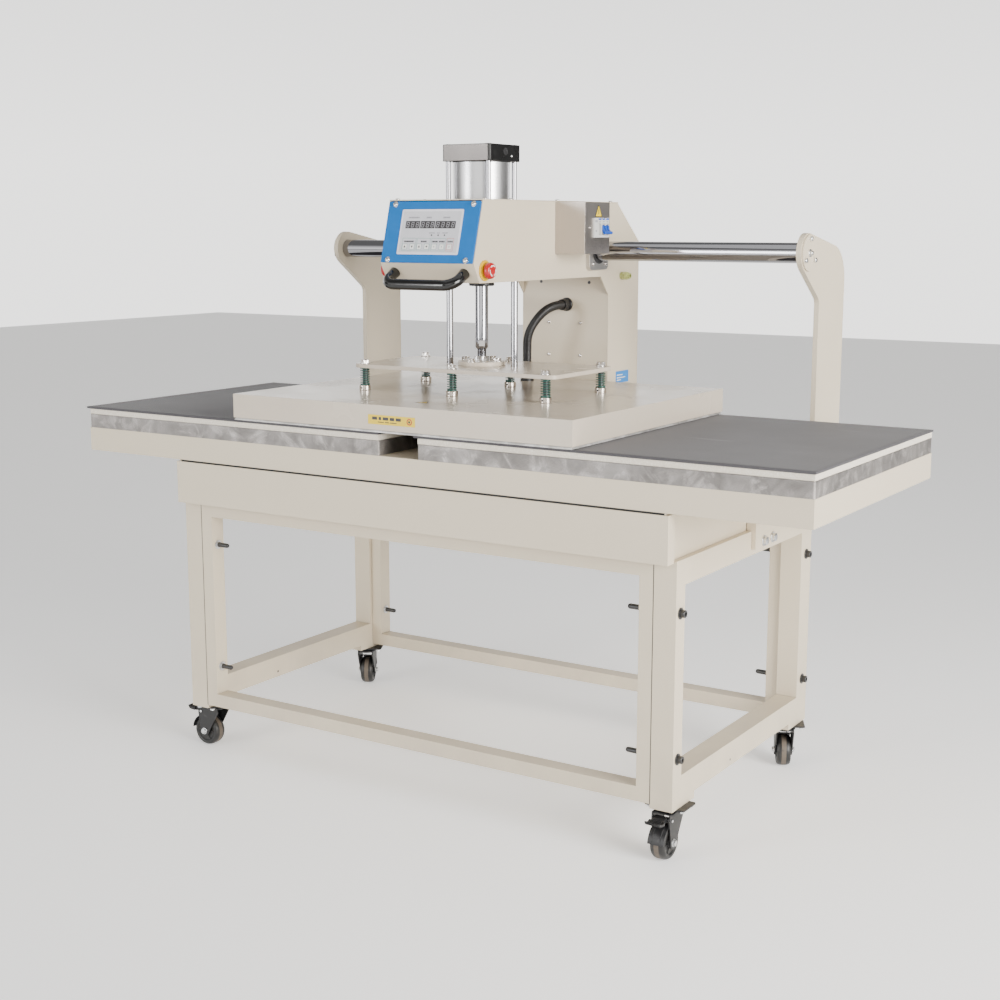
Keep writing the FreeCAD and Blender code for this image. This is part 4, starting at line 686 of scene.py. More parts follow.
# ---- springs and their posts
POSTS = [(i * 249, j * 124) for i in (-1, 0, 1) for j in (-1, 1)]
TURNS, COIL_RADIUS, WIRE_HIGH = 8.5, 9.4, 2.3
cover_top = heights("platen_cover")[1]
plate_low, plate_high = heights("pressure_plate")
spring_low = cover_top + 12.3
count = int(TURNS * 28)
for number, (x, y) in enumerate(POSTS):
    helix = []
    for i in range(count + 1):
        part = i / count
        ease = min(1.0, max(0.0, (part - 0.09) / 0.82))  # the end turns lie flat
        turn = 2 * math.pi * TURNS * part + number
        z = spring_low + WIRE_HIGH / 2 + (plate_low - spring_low - WIRE_HIGH) * ease
        helix.append((COIL_RADIUS * math.cos(turn), COIL_RADIUS * math.sin(turn), z))
    spring = Shape()
    spring.sweep(helix, [(-2.1, -1.15), (2.1, -1.15), (2.1, 1.15), (-2.1, 1.15)], on_head(x, y, 0),
                 up=Vector((0, 0, 1)))
    coil = spring.finish("die_spring_%d" % number, "press_head", "spring_green", "plate_springs",
                         bevel=0.35, sharp=40)
    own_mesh(coil)

posts = Shape()
for x, y in POSTS:
    spot = on_head(x, y, 0)
    posts.rod(6, 863, 916, spot, 24)
    posts.rod(6.02, 915, 968, spot, 24, 2)
    posts.lathe([(radius, cover_top + up) for radius, up in (
        (6, 0), (13.2, 0), (14, 0.8), (14, 11), (13.0, 12), (8.4, 12), (7.6, 11), (6, 11))],
        spot, 40, 1)
    posts.screw(on_head(x, y - 13.6, cover_top + 6, "-Y"), 2.2, 0.7, 2)
    posts.hex_bolt(on_head(x, y, plate_high + 0.3, spin=15 + x * 0.3 + y), 10.4, 8, 12, 2)
posts.finish("spring_post_set", "platen", "screw_steel nickel black_steel", "spring_posts")

# ---- rod, flange and nut
disc_top = heights("rod_flange")[1]
fasteners = Shape()
for x, y in ((45, 0), (-45, 0), (0, 45), (0, -45)):
    fasteners.hex_bolt(on_head(x, y, disc_top, spin=x + 20), 9.4, 7.2, 10.5, 1.6)
fasteners.lathe([(0, 0), (18.5, 0, "hex"), (18.5, 10.4, "hex"), (17.3, 11.5), (15.6, 12), (11.2, 12),
                 (0, 12)], on_head(0, 0, disc_top, spin=10), 36, 1)
fasteners.finish("flange_bolts", "press_head", "screw_steel zinc", "flange_fasteners")

rod = Shape()
thread = [(0, 12.2)]
z = 12.2
while z < 28:
    thread += [(10.4, z), (11.4, z + 0.75)]
    z += 1.5
thread += [(12.6, z), (15.02, z + 4), (15.02, z + 21), (14.4, z + 21.6), (14.4, z + 23.0),
           (15, z + 23.6), (15, 1212 - disc_top), (0, 1212 - disc_top)]
rod.rod(10.9, -20, 12.3, on_head(0, 0, disc_top), 48)
rod.lathe(thread, on_head(0, 0, disc_top), 48)
rod.lathe([(0, 1211), (61, 1211), (62, 1213), (62, 1219), (60, 1219.5), (60, 1223), (62, 1223.5),
           (62, 1239), (61, 1240), (0, 1240)], on_head(0, 0, 0), 64)
for side in (-1, 1):
    # wrench flats above the thread
    rod.block((-6.5, side * 15.1 - 0.4, z + 6), (6.5, side * 15.1 + 0.1, z + 19),
              on_head(0, 0, disc_top, spin=35), 1)
rod.finish("rod_and_piston", "press_head", "hard_chrome bearing_steel", "piston_rod")

gland_ring = Shape()
gland_ring.lathe([(15.1, 1151), (28, 1151), (29.5, 1152.5), (29.5, 1163), (28.5, 1164.9),
                  (15.1, 1164.9)], on_head(0, 0, 0), 48)
for x in (-90, 90):
    for profile in ([(8.05, 1165), (14, 1165), (14, 1194), (13, 1195), (8.05, 1195)],
                    [(8.05, 1163.5), (13.4, 1163.5), (14, 1164.2), (14, 1165), (8.05, 1165)]):
        gland_ring.lathe(profile, on_head(x, 0, 0), 36)
gland_ring.finish("rod_seals", "carriage", "black_plastic", "rod_bushes")


# ---- cylinder
HALF, CUT, CAP = 65.5, 5, 37.6  # half the square's side, its cut corners, a block's height
TIES = [(x, y) for x in (-54.5, 54.5) for y in (-54.5, 54.5)]
barrel_low, barrel_high = heights("cylinder_barrel")
heads = Shape()
square = [(-HALF + CUT, -HALF), (HALF - CUT, -HALF), (HALF, -HALF + CUT), (HALF, HALF - CUT),
          (HALF - CUT, HALF), (-HALF + CUT, HALF), (-HALF, HALF - CUT), (-HALF, -HALF + CUT)]
for low, high in ((barrel_low - CAP, barrel_low), (barrel_high, barrel_high + CAP)):
    heads.prism(square, high - low, on_head(0, 0, low))
heads_piece = heads.finish("cylinder_blocks", "carriage", "cylinder_grey cylinder_dark",
                           "cylinder_heads", bevel=1.2, segments=3)
# painted reflection: the faces towards ±X get the near-black look in place of a dark reflection; the real
# blocks have one finish all round
for face in heads_piece.data.polygons:
    if abs(face.normal.x) > 0.6:
        face.material_index = 1
ports = Shape()
for side, axis in SIDES[::-1]:
    ports.lathe([(0, 0), (8.5, 0), (8.5, 0.5), (7.4, 0.9), (6, 0.9), (5.6, 0.2), (0, 0.2)],
                on_head(side * HALF, 0, barrel_high + 22, axis), 28, 1)
    ports.screw(on_head(side * HALF, 26, barrel_high + 12, axis), 3.2, 1.2, 0, "hex")
for x, y in TIES:
    ports.lathe([(0, 0), (6.8, 0), (6.8, 0.4), (5.9, 0.8), (5.2, 0.3), (0, 0.3)],
                on_head(x, y, barrel_high + CAP), 24)
ports.finish("cylinder_ports", "carriage", "zinc black_steel")

ties = Shape()
for x, y in TIES:
    ties.rod(5.75, barrel_low, barrel_high, on_head(x, y, 0), 24)
ties.finish("tie_rod_set", "carriage", "hard_chrome", "tie_rods")

rings = Shape()
for z in (barrel_low, barrel_high - 2.0):
    rings.lathe([(64.5, z), (66, z), (66, z + 2.0), (64.5, z + 2.0)], on_head(0, 0, 0), 72)
rings.finish("barrel_seals", "carriage", "black_plastic")


# ---- control face
FACE = Matrix.Translation(at(HEAD_X, -221.05, 1207)) @ spun(-15.436, "X")
PRINT = FACE @ shift(0, -3.8, 0) @ AXES["-Y"]
INKS = ("overlay_edge overlay_grey display_dark print_grey print_teal print_pink print_black "
        "print_white")
EDGE, GREY, DARK, INK, TEAL, PINK, BLACK, WHITE = range(8)
film = Shape()


def ink(outline, thick, lift, slot):
    film.prism(outline, thick, PRINT @ shift(0, 0, lift), slot)


def mark(x0, x1, y0, y1, lift, slot, radius):
    ink(round_rect(x0, x1, y0, y1, radius, 4), 0.12, lift, slot)


def frame_mark(x0, x1, y0, y1, width, slot):
    for edges in ((x0, x1, y0, y0 + width), (x0, x1, y1 - width, y1),
                  (x0, x0 + width, y0 + width, y1 - width),
                  (x1 - width, x1, y0 + width, y1 - width)):
        mark(*edges, 0.12, slot, 0.2)


def words(x0, x1, y, height, slot, seed):
    """A line of print, as small dashes of different lengths."""
    x = x0
    step = seed
    while x < x1 - 1.0:
        step = (step * 7 + 3) % 11
        width = min(1.2 + 0.22 * step, x1 - x)
        mark(x, x + width, y - height / 2, y + height / 2, 0.2, slot, 0.15)
        x += width + 0.7


def stroke(ax, ay, bx, by, gap, half):
    """A long hexagon from one point to the other, gap short of both, half as wide on each side."""
    dx, dy = bx - ax, by - ay
    size = math.hypot(dx, dy)
    ux, uy = dx / size, dy / size
    px, py, qx, qy = ax + ux * gap, ay + uy * gap, bx - ux * gap, by - uy * gap
    return [(px + uy * half, py - ux * half), (qx + uy * half, qy - ux * half),
            (qx + ux * half, qy + uy * half), (qx - uy * half, qy + ux * half),
            (px - uy * half, py + ux * half), (px - ux * half, py - uy * half)]


ink(round_rect(-82, 82, 18.7, 120.3, 3, 6), 0.82, -0.8, EDGE)
ink(round_rect(-77.5, 77.5, 23.5, 115.5, 2, 6), 0.12, 0.02, GREY)
SEGMENTS = (((-1, 1), (1, 1)), ((1, 1), (1, 0)), ((1, 0), (1, -1)), ((-1, -1), (1, -1)),
            ((-1, 0), (-1, -1)), ((-1, 1), (-1, 0)), ((-1, 0), (1, 0)))
DIGIT_X, DIGIT_Y, LEAN, DIGIT_MIDDLE = 3.1, 5.3, 0.55, 85.5
for x0, x1, digits in ((-67.8, -29.7, 3), (-27.5, 10.4, 3), (12.5, 65.7, 4)):
    ink(round_rect(x0, x1, 77.2, 93.8, 0.8, 4), 0.35, 0.1, DARK)
    for digit in range(digits):
        centre = x0 + (x1 - x0) * (digit + 0.5) / digits
        for ends in SEGMENTS:
            (ax, ay), (bx, by) = [(centre + x * DIGIT_X + y * LEAN, DIGIT_MIDDLE + y * DIGIT_Y)
                                  for x, y in ends]
            ink(stroke(ax, ay, bx, by, 0.7, 0.55), 0.1, 0.46, INK)
for x0, x1, seed in ((-62, -33, 3), (-14, 2, 5), (31, 49, 8)):
    words(x0, x1, 101.5, 3.4, INK, seed)
for x, x0, x1, seed in ((6, -1, 14, 2), (23.7, 20, 29, 4), (40.4, 33, 50, 6)):
    words(x0, x1, 67.0, 2.2, INK, seed)
    ink(arc(x, 62.0, 1.9, 0, 360, 16)[:-1], 0.3, 0.1, BLACK)
for x0, x1, slot in ((-70.5, -33.5, TEAL), (-31.0, 5.0, TEAL), (8.0, 46.5, TEAL), (49.0, 67.5, PINK)):
    frame_mark(x0, x1, 26.5, 55.5, 0.8, slot)
for x0, x1, seed in ((-66, -39, 3), (-20, -4, 4), (10, 25, 6), (29, 44, 7), (51, 65, 9)):
    words(x0, x1, 47.8, 3.6, BLACK, seed)
for index, x in enumerate((-62.6, -42.9, -23.3, -3.3, 16.6, 36.9, 57.1)):
    frame_mark(x - 6.5, x + 6.5, 29.8, 42.7, 0.7, PINK if index == 6 else TEAL)
    ink(round_rect(x - 5.6, x + 5.6, 30.7, 41.8, 1.5), 0.14, 0.12, WHITE)
    if index < 4:
        tip = 1 if index % 2 == 0 else -1
        ink([(x - 2.8, 36.2 - tip * 2.0), (x + 2.8, 36.2 - tip * 2.0), (x, 36.2 + tip * 2.8)][::tip],
            0.1, 0.28, BLACK)
    else:
        ink(round_rect(x - 0.9, x + 0.9, 34.6, 37.8, 0.3), 0.1, 0.28, INK)
film.finish("keypad_film", "carriage", INKS, "keypad_panel")

bezel = Shape()
bezel.prism(round_rect(-123, 123, 0.3, 138.7, 2.5), 3, FACE @ AXES["-Y"])
bezel.finish("bezel_plate", "carriage", "bezel_blue", "control_bezel", bevel=0.5)

GRIP_X = 93.5
handle = Shape()
grip = [(-GRIP_X, y) for y in (0, -6, -14, -22)] + arc(-65.5, -22, 28, 180, 270, 12)[1:]
grip += [(x, -50) for x in (-50, -30, -10, 10, 30, 50)] + arc(65.5, -22, 28, 270, 360, 12)
grip += [(GRIP_X, y) for y in (-14, -6, 0)]
swell = [1.04, 1.04] + [1.0] * (len(grip) - 4) + [1.04, 1.04]
handle.sweep([(x, y, 0) for x, y in grip], circle(12, 36),
             Matrix.Translation(at(HEAD_X, -209, 1186)) @ spun(29.74, "X"), scale=swell)
handle.finish("grip_bar", "carriage", "handle_black", "pull_handle", sharp=50)


# ---- emergency stops
for (side, axis), name in zip(SIDES, ("left", "right")):
    where = on_head(side * HEAD_SIDE, -178, 1192, axis)
    collar = Shape()
    collar.lathe([(7.2, -20), (11, -20), (11, 0), (22.5, 0), (22.5, 2.2), (21.9, 2.8), (14.5, 3.0),
                  (14.5, 3.6), (14, 4.0), (7.2, 4.0), (7.2, -20)], where, 48)
    for start, count in ((58, 9), (238, 7)):
        for i in range(count):
            width = 0.75 if i % 3 else 0.45
            collar.block((-1.5, -width, 0), (1.5, width, 0.15),
                         where @ spun(start + 8.5 * i) @ shift(18.4, 0, 2.86), 1)
    collar.finish("stop_collar_" + name, "carriage", "stop_yellow print_black", "estop_collars")
    button = Shape()
    button.lathe([(0, -8), (6, -8), (6, 8.3), (15.2, 8.3), (17.2, 9.2), (18, 11.2), (18, 15.4),
                  (17.4, 18.2), (15.8, 20.4), (13.4, 21.6), (11, 22), (0, 22)], where, 56)
    for start in (20, 140, 260):
        end = start + 66
        curve = arc(0, 0, 12.2, start, end, 14) + arc(0, 0, 9.9, end, start, 14)
        button.prism(curve, 0.15, where @ shift(0, 0, 21.95), 1)
        button.prism([(-2.6, -0.2), (2.6, -0.2), (0, 5.2)], 0.15,
                     where @ spun(end) @ shift(11.05, 0, 21.95), 1)
    button.finish("stop_button_" + name, "estop_button_" + name, "stop_red print_white",
                  "estop_button_" + name, sharp=30)


# ---- breaker and switch box
NECK, NOSE = HEAD_X + 202, HEAD_X + 209  # the case's front and its raised front
MODULE = 18.0
breaker = Shape()
breaker.block((HEAD_X + 145, 158, 1241), (HEAD_X + 202.5, 230, 1326))
for i in range(4):
    y0 = 158 + MODULE * i + 0.2
    y1 = 158 + MODULE * (i + 1) - 0.2
    if i == 0:
        breaker.block((NECK, y0, 1261), (NOSE, y1, 1306))
        breaker.block((NOSE, y0 + 4, 1296), (NOSE + 0.25, y1 - 2, 1301), slot=2)
        breaker.lathe([(0, 0), (2.6, 0), (2.6, 0.7), (2.0, 1.1), (0, 1.1)],
                      place(NOSE, (y0 + y1) / 2, 1276, "X"), 20, 2)
        continue
    for low, high, slot in (
            ((NECK, y0, 1261), (NOSE, y1, 1266.5), 0),
            ((NECK, y0, 1293), (NOSE, y1, 1306), 0),
            ((HEAD_X + 201.5, y0, 1266), (HEAD_X + 203, y1, 1294), 0),
            ((NECK, y0, 1266.4), (NOSE, y0 + 2.2, 1293.2), 0),
            ((NECK, y1 - 2.2, 1266.4), (NOSE, y1, 1293.2), 0),
            ((NOSE, y0 + 2, 1301.5), (NOSE + 0.25, y1 - 2, 1305), 3),
            ((NOSE, y0 + 4, 1296), (NOSE + 0.2, y1 - 5, 1298.5), 2)):
        breaker.block(low, high, slot=slot)
breaker.finish("breaker_case", "carriage", "breaker_white display_dark print_grey toggle_blue",
               "breaker_body", bevel=0.5)

pivot = Matrix.Translation(at(HEAD_X + 204.6, 194, 1283)) @ spun(45, "Y")
LEVER = [(3, -3.2), (12, -2.6), (17.5, -2.9), (18.6, 0), (17.5, 2.9), (12, 2.2), (3, 3.2)]
toggle = Shape()
toggle.rod(3.4, 0, 35, pivot @ AXES["Y"])
for y in (1.2, 13.2, 25.2):
    toggle.lathe([(0, 0), (6.6, 0), (7, 0.4), (7, 7.8), (6.6, 8.2), (0, 8.2)],
                 pivot @ shift(0, y, 0) @ AXES["Y"], 28)
    toggle.prism(LEVER, 8.2, pivot @ shift(0, y + 8.2, 0) @ AXES["-Y"])
toggle.lathe([(0, 0), (3.2, 0), (3.5, 0.4), (3.5, 34.6), (3.2, 35), (0, 35)],
             pivot @ shift(16, 0, 0) @ AXES["Y"], 20)
toggle.finish("toggle_bar", "breaker_toggle", "toggle_blue", "breaker_toggle", bevel=0.4)


# ---- labels, all plain shapes
LABEL_LOOKS = "print_black label_yellow label_blue print_white stop_red"
L_BLACK, L_YELLOW, L_BLUE, L_WHITE, L_RED = range(5)
labels = Shape()
cover_labels = Shape()
# a triangle on the switch box
triangle = on_head(204.65, 186, 1308, "X", 90)
for outline, thick, lift, slot in (
        ([(-15, 0), (15, 0), (16, 2), (1.2, 27.6), (-1.2, 27.6), (-16, 2)], 0.2, 0, L_BLACK),
        ([(-12.6, 1.8), (12.6, 1.8), (13.2, 2.8), (0.8, 24.6), (-0.8, 24.6), (-13.2, 2.8)],
         0.12, 0.16, L_YELLOW),
        ([(-1.2, 6), (1.2, 6), (1.7, 17), (-1.7, 17)], 0.1, 0.28, L_BLACK)):
    labels.prism(outline, thick, triangle @ shift(0, 0, lift), slot)
# a yellow strip on the platen's front
strip = place(-9, -358.55, 874, "-Y")
cover_labels.prism(round_rect(-63, 63, -10.5, 10.5, 1.5), 0.2, strip, L_YELLOW)
bars = [(x0, x1, -0.5, 6.2, 0.8) for x0, x1 in ((-52, -38), (-34, -27), (-23, -8), (-4, 8), (12, 26))]
bars += [(x0, x1, -6.0, -4.2, 0.4) for x0, x1 in ((-36, -20), (-17, -6), (-3, 14))]
for bar in bars:
    cover_labels.prism(round_rect(*bar), 0.1, strip @ shift(0, 0, 0.2), L_BLACK)
for radius, sides, thick, lift, slot in ((7, 32, 0.12, 0.2, L_RED), (4.6, 32, 0.1, 0.32, L_YELLOW),
                                         (2.6, 20, 0.1, 0.42, L_BLACK)):
    cover_labels.prism(disc(48, radius, sides), thick, strip @ shift(0, 0, lift), slot)
# a triangle on the cover's top
flat = place(10, -262, cover_top + 0.05)
for outline, thick, lift, slot in (([(-16, -12), (16, -12), (0, 16)], 0.12, 0, L_BLACK),
                                   ([(-12, -9.6), (12, -9.6), (0, 11.5)], 0.1, 0.1, L_YELLOW),
                                   ([(-1.2, -6), (1.2, -6), (1.6, 4), (-1.6, 4)], 0.1, 0.2, L_BLACK)):
    cover_labels.prism(outline, thick, flat @ shift(0, 0, lift), slot)
# a blue label on the column's side, drawn in Y and Z
SIDEWAYS = Matrix(((0, 0, 1, 0), (1, 0, 0, 0), (0, 1, 0, 0), (0, 0, 0, 1)))
labels.prism(round_rect(427, 495, 894, 924, 1.5), 0.2,
             Matrix.Translation(at(HEAD_X + 125.05, 0, 0)) @ SIDEWAYS, L_BLUE)
for row, reach in ((914, 30), (907, 44), (901, 22)):
    labels.prism(round_rect(433, 433 + reach, row - 1.3, row + 1.3, 0.5), 0.1,
                 Matrix.Translation(at(HEAD_X + 125.25, 0, 0)) @ SIDEWAYS, L_WHITE)
labels.finish("labels_head", "carriage", LABEL_LOOKS)
cover_labels.finish("labels_cover", "platen", LABEL_LOOKS)

# black strips as painted shadow in the seams where the stand's frames meet, and a black strip as painted
# shade that closes the gap above the base
gaps = Shape()
for side in (-1, 1):
    x0, x1 = sorted((side * 610.1, side * 611.9))
    gaps.block((x0, -323.15, 122.5), (x1, -321, 632))
    gaps.block((x0, 384, 122.5), (x1, 386.15, 632))
gaps.block((-648, -346, 704), (648, -341, 758))
for side, axis in SIDES:
    # black discs as painted shade for stray holes in the frame's rails
    inward = "X" if side < 0 else "-X"
    gaps.rod(3, 0, 0.15, place(side * 611, -60, 142, inward))
    gaps.rod(2.6, 0, 0.15, place(side * 662, -40, 142, axis))
gaps.finish("frame_shadow_strips", "stand", "black_plastic")

seal = Shape()
shaft_low, shaft_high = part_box("slide_shaft")
shaft_radius = (shaft_high[2] - shaft_low[2]) * 500
for side, axis in SIDES:
    seal.lathe([(shaft_radius + 0.35, 0), (31, 0), (31, 1.2), (29.5, 1.8), (26, 1.6),
                (shaft_radius + 0.35, 0.6)], on_head(side * 135.9, SHAFT_Y, SHAFT_Z, axis), 56)
seal.finish("shaft_seals", "carriage", "black_plastic")

# crumpled foil round the heating plate
foil = Shape()
plate_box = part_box("heating_plate")
px0, px1 = ((plate_box[i][0] - MIDDLE_X) * 1000 for i in (0, 1))
py0, py1 = ((plate_box[i][1] - MIDDLE_Y) * 1000 for i in (0, 1))
pz = plate_box[0][2] * 1000
middle = ((px0 + px1) / 2, (py0 + py1) / 2)


def outward(value, centre, end):
    share = (value - centre) / (end - centre)
    return math.copysign(1, share) if abs(share) > 0.999 else 0


ring = rim_points(px0, px1, py0, py1, 90, 90)
points = []
for k, (x, y) in enumerate(ring):
    crumple = 0.45 * math.sin(k * 0.9) + 0.35 * math.sin(k * 2.3 + 1)
    ox, oy = outward(x, middle[0], px1), outward(y, middle[1], py1)
    for out, z in ((0.2, pz + 6.6), (1.5 + crumple * 0.6, pz + 4.2), (2.7 + crumple, pz + 1.6),
                   (2.9 + crumple, pz + 0.7), (0.2, pz + 0.5)):
        points.append((x + ox * out, y + oy * out, z))
n = len(ring)
foil.faces(points, [(k * 5 + a, (k + 1) % n * 5 + a, (k + 1) % n * 5 + b, k * 5 + b)
                    for k in range(n) for a, b in ((0, 1), (1, 2), (2, 3), (3, 4), (4, 0))], ORIGIN)
foil.finish("foil_edge", "platen", "aluminium", sharp=60)


# ---- screws of the head
screws = Shape()
for x in (-104.5, 104.5):
    for up in (6.8, 132):
        spot = FACE @ shift(x, -3, up) @ AXES["-Y"] @ Matrix.Rotation(0.4 + x, 4, "Z")
        screws.lathe([(0, 0), (6.6, 0), (6.6, 0.6), (6.3, 0.9), (0, 0.9)], spot, 28)
        screws.screw(spot @ shift(0, 0, 0.9), 5.5, 3.4)
for x in (-46, 46):
    for z in (964, 1046):
        screws.screw(on_head(x, COLUMN_FRONT, z, "-Y", 20 + x + z), 4.2, 2.6)
for x in (-117, 117):
    for y in (-165, -60, 144, 402):
        screws.screw(on_head(x, y, 1345.5, "Z", y + x), 5, 3)
for side, axis in SIDES:
    for y in (-31, 31):
        for z in (-31, 31):
            screws.socket_screw(on_head(side * 136, SHAFT_Y + y, SHAFT_Z + z, axis), 5, 4.2)
screws.screw(on_head(204.6, 146, 1284, "X", 30), 3.5, 2)
for x in (-70, 70):
    screws.rod(4.2, 0, 0.5, on_head(x, COLUMN_FRONT, 1148, "-Y"), slot=1)
screws.finish("head_screws", "carriage", "screw_steel black_steel", "machine_screws")


# ---- stand bolts
bolts = Shape()
CAP_SPOTS = ((0, 0), (0, 1), (-0.866, -0.5), (0.866, -0.5))
for (side, axis), back in zip(SIDES, ("X", "-X")):
    for y in (-303, 366):
        for z in (222, 527):
            outer = place(side * 662, y, z, axis, y + z)
            bolts.lathe([(0, 0), (12, 0), (12, 1.6), (11.6, 2), (0, 2)], outer)
            bolts.socket_screw(outer @ shift(0, 0, 2), 8, 10)
            inner = place(side * 579, y, z, back)
            bolts.lathe([(0, 0), (11, 0), (11, 1.6), (10.6, 2), (6.5, 2.1), (6.5, 3.6), (0, 3.6)],
                        inner, 32, 1)
            bolts.lathe([(0, 3.0), (6.2, 3.0), (6.2, 8), (5.6, 8.6), (5.6, 30), (4.6, 33), (3, 34.2),
                         (0, 34.4)], inner, 28)
    for i in range(2):
        bolts.hex_bolt(place(side * 672, 86 + 48 * i, 609, axis, 12 * i), 9.8, 7, 12, 2, 1)
    for across, up in CAP_SPOTS:
        spot = place(side * 666, SHAFT_Y + across * 32, SHAFT_Z + up * 32, axis, across * 40)
        if across == 0 and up == 0:
            bolts.lathe([(0, 0), (9, 0), (9, 1.1), (8.6, 1.5), (0, 1.5)], spot, 32, 1)
            spot = spot @ shift(0, 0, 1.5)
        bolts.socket_screw(spot, 5.5, 5.5, 1)
bolts.finish("stand_fasteners", "stand", "black_steel zinc", "stand_bolts")


# ---- casters
CORNERS = (("front_left", -1, -271, 180), ("front_right", 1, -271, 270),
           ("rear_left", -1, 344, 117), ("rear_right", 1, 344, 117))
TRAIL = 24  # the wheel's axle, from the swivel
WHEEL_RADIUS = 37.5
CHEEK, THICK = 21.5, 3  # the fork's outer face and its sheet
PLATE_UNDER = 110
WHEEL_SIDE = [(4.1, 0), (9, 0), (10, 1), (11.5, 3.5), (24, 3.5), (26.5, 1.2), (28, 0.5), (31.5, 0.4),
              (34.4, 2.2), (36.3, 5.2), (37.2, 8.6)]
PEDAL = [(27, 92.5), (33, 95), (41, 96), (54, 94), (66, 91), (74, 92), (79, 96), (80.5, 94.5),
         (77, 87.5), (68, 85), (56, 84.5), (44, 86.5), (38, 84), (29, 84)]
PEDAL_WING = [(58, 93.4), (66, 91.2), (74, 92.2), (79, 96), (80.5, 94.5), (77, 87.5), (68, 85.4),
              (58, 85)]
top_plates = Shape()
for name, side, y, angle in CORNERS:
    base = Matrix.Translation(at(side * 632, y, 0)) @ spun(angle)
    top_plates.prism(round_rect(-30, 30, -46, 46, 6), THICK, base @ shift(0, 0, PLATE_UNDER))
    top_plates.lathe([(5, 104.3), (20, 104.3), (22, 106), (22, 108.5), (25, 110), (5, 110)], base, 40)
    top_plates.lathe([(0, 95), (4.4, 95), (5, 95.6), (5, 110), (0, 110)], base, 20, 1)
    for px in (-21, 21):
        for py in (-37, 37):
            top_plates.hex_bolt(base @ shift(px, py, PLATE_UNDER) @ AXES["-Z"], 6, 4.2, 7.5, 1.2, 1)

    fork = Shape()
    fork.lathe([(5.1, 98), (24, 98), (26, 100), (26, 102.4), (24.5, 104), (5.1, 104)], base, 40)
    fork.prism(round_rect(-14, 38, -CHEEK, CHEEK, 3), THICK, base @ shift(0, 0, 99.5))
    outline = [(-20, 103), (-23, 92)] + arc(TRAIL, WHEEL_RADIUS, 13.5, 205, 385, 18)
    outline += [(43, 84), (41, 103)]
    for cheek in (-1, 1):
        face = CHEEK if cheek > 0 else THICK - CHEEK
        outwards = AXES["Y" if cheek > 0 else "-Y"]
        fork.prism(outline, THICK, base @ shift(0, face, 0) @ AXES["-Y"])
        fork.hex_bolt(base @ shift(TRAIL, cheek * CHEEK, WHEEL_RADIUS) @ outwards, 6.6, 4.6, 8.4,
                      1.2, 1)
        fork.lathe([(0, 0.9), (3.4, 0.9), (3.2, 1.9), (2, 2.6), (0, 2.8)],
                   base @ shift(33, cheek * CHEEK, 88) @ outwards, 16, 1)
    axle = base @ shift(TRAIL, 0, WHEEL_RADIUS) @ AXES["Y"]
    fork.rod(4, -CHEEK, CHEEK, axle, slot=1)
    # brake cover over the wheel, with two ribs
    for inner, outer, start, end, count, width, y in ((39.4, 41.4, 6, 92, 16, 37, 18.5),
                                                      (41.2, 42.4, 14, 80, 12, 1.6, -9 + 0.8),
                                                      (41.2, 42.4, 14, 80, 12, 1.6, 9 + 0.8)):
        cover = arc(TRAIL, WHEEL_RADIUS, outer, start, end, count)
        cover += arc(TRAIL, WHEEL_RADIUS, inner, end, start, count)
        fork.prism(cover, width, base @ shift(0, y, 0) @ AXES["-Y"])
    fork.finish("fork_" + name, "caster_fork_" + name, "caster_black zinc", "caster_fork_" + name,
                bevel=0.6)

    wheel = Shape()
    half = 17.2  # of the wheel's width
    hub = [(r, -half + z) for r, z in WHEEL_SIDE]
    band = [(37.45, -5.5), (37.5, -4.5), (37.5, 0), (37.5, 4.5), (37.45, 5.5)]
    wheel.lathe(hub + [band[0]], axle, 64)
    wheel.lathe(band, axle, 64, 1)
    wheel.lathe([band[-1]] + [(r, -z) for r, z in hub[::-1]] + [(4.1, half), (4.1, -half)], axle, 64)
    for i in range(6):
        for z0, z1 in ((-half + 1.8, -half + 3.6), (half - 3.6, half - 1.8)):
            wheel.block((11, -1.2, z0), (24.5, 1.2, z1), axle @ spun(60 * i))
    wheel.finish("wheel_" + name, "caster_wheel_" + name, "caster_tread tread_band",
                 "caster_wheel_" + name)

    pedal = Shape()
    for outline, width in ((PEDAL, 28), (PEDAL_WING, 36)):
        pedal.prism(outline, width, base @ shift(0, width / 2, 0) @ AXES["-Y"])
    for i in range(4):
        pedal.block((50 + 5.5 * i, -12, 91), (52 + 5.5 * i, 12, 95.4 - 0.55 * i), base)
    pedal.rod(3, -19.5, 19.5, base @ shift(33, 0, 88) @ AXES["Y"], 16, 1)
    pedal.finish("pedal_" + name, "caster_pedal_" + name, "caster_black zinc",
                 "caster_pedal_" + name, bevel=0.6)
top_plates.finish("caster_top_plates", "stand", "caster_black zinc", "caster_plates", bevel=0.4)


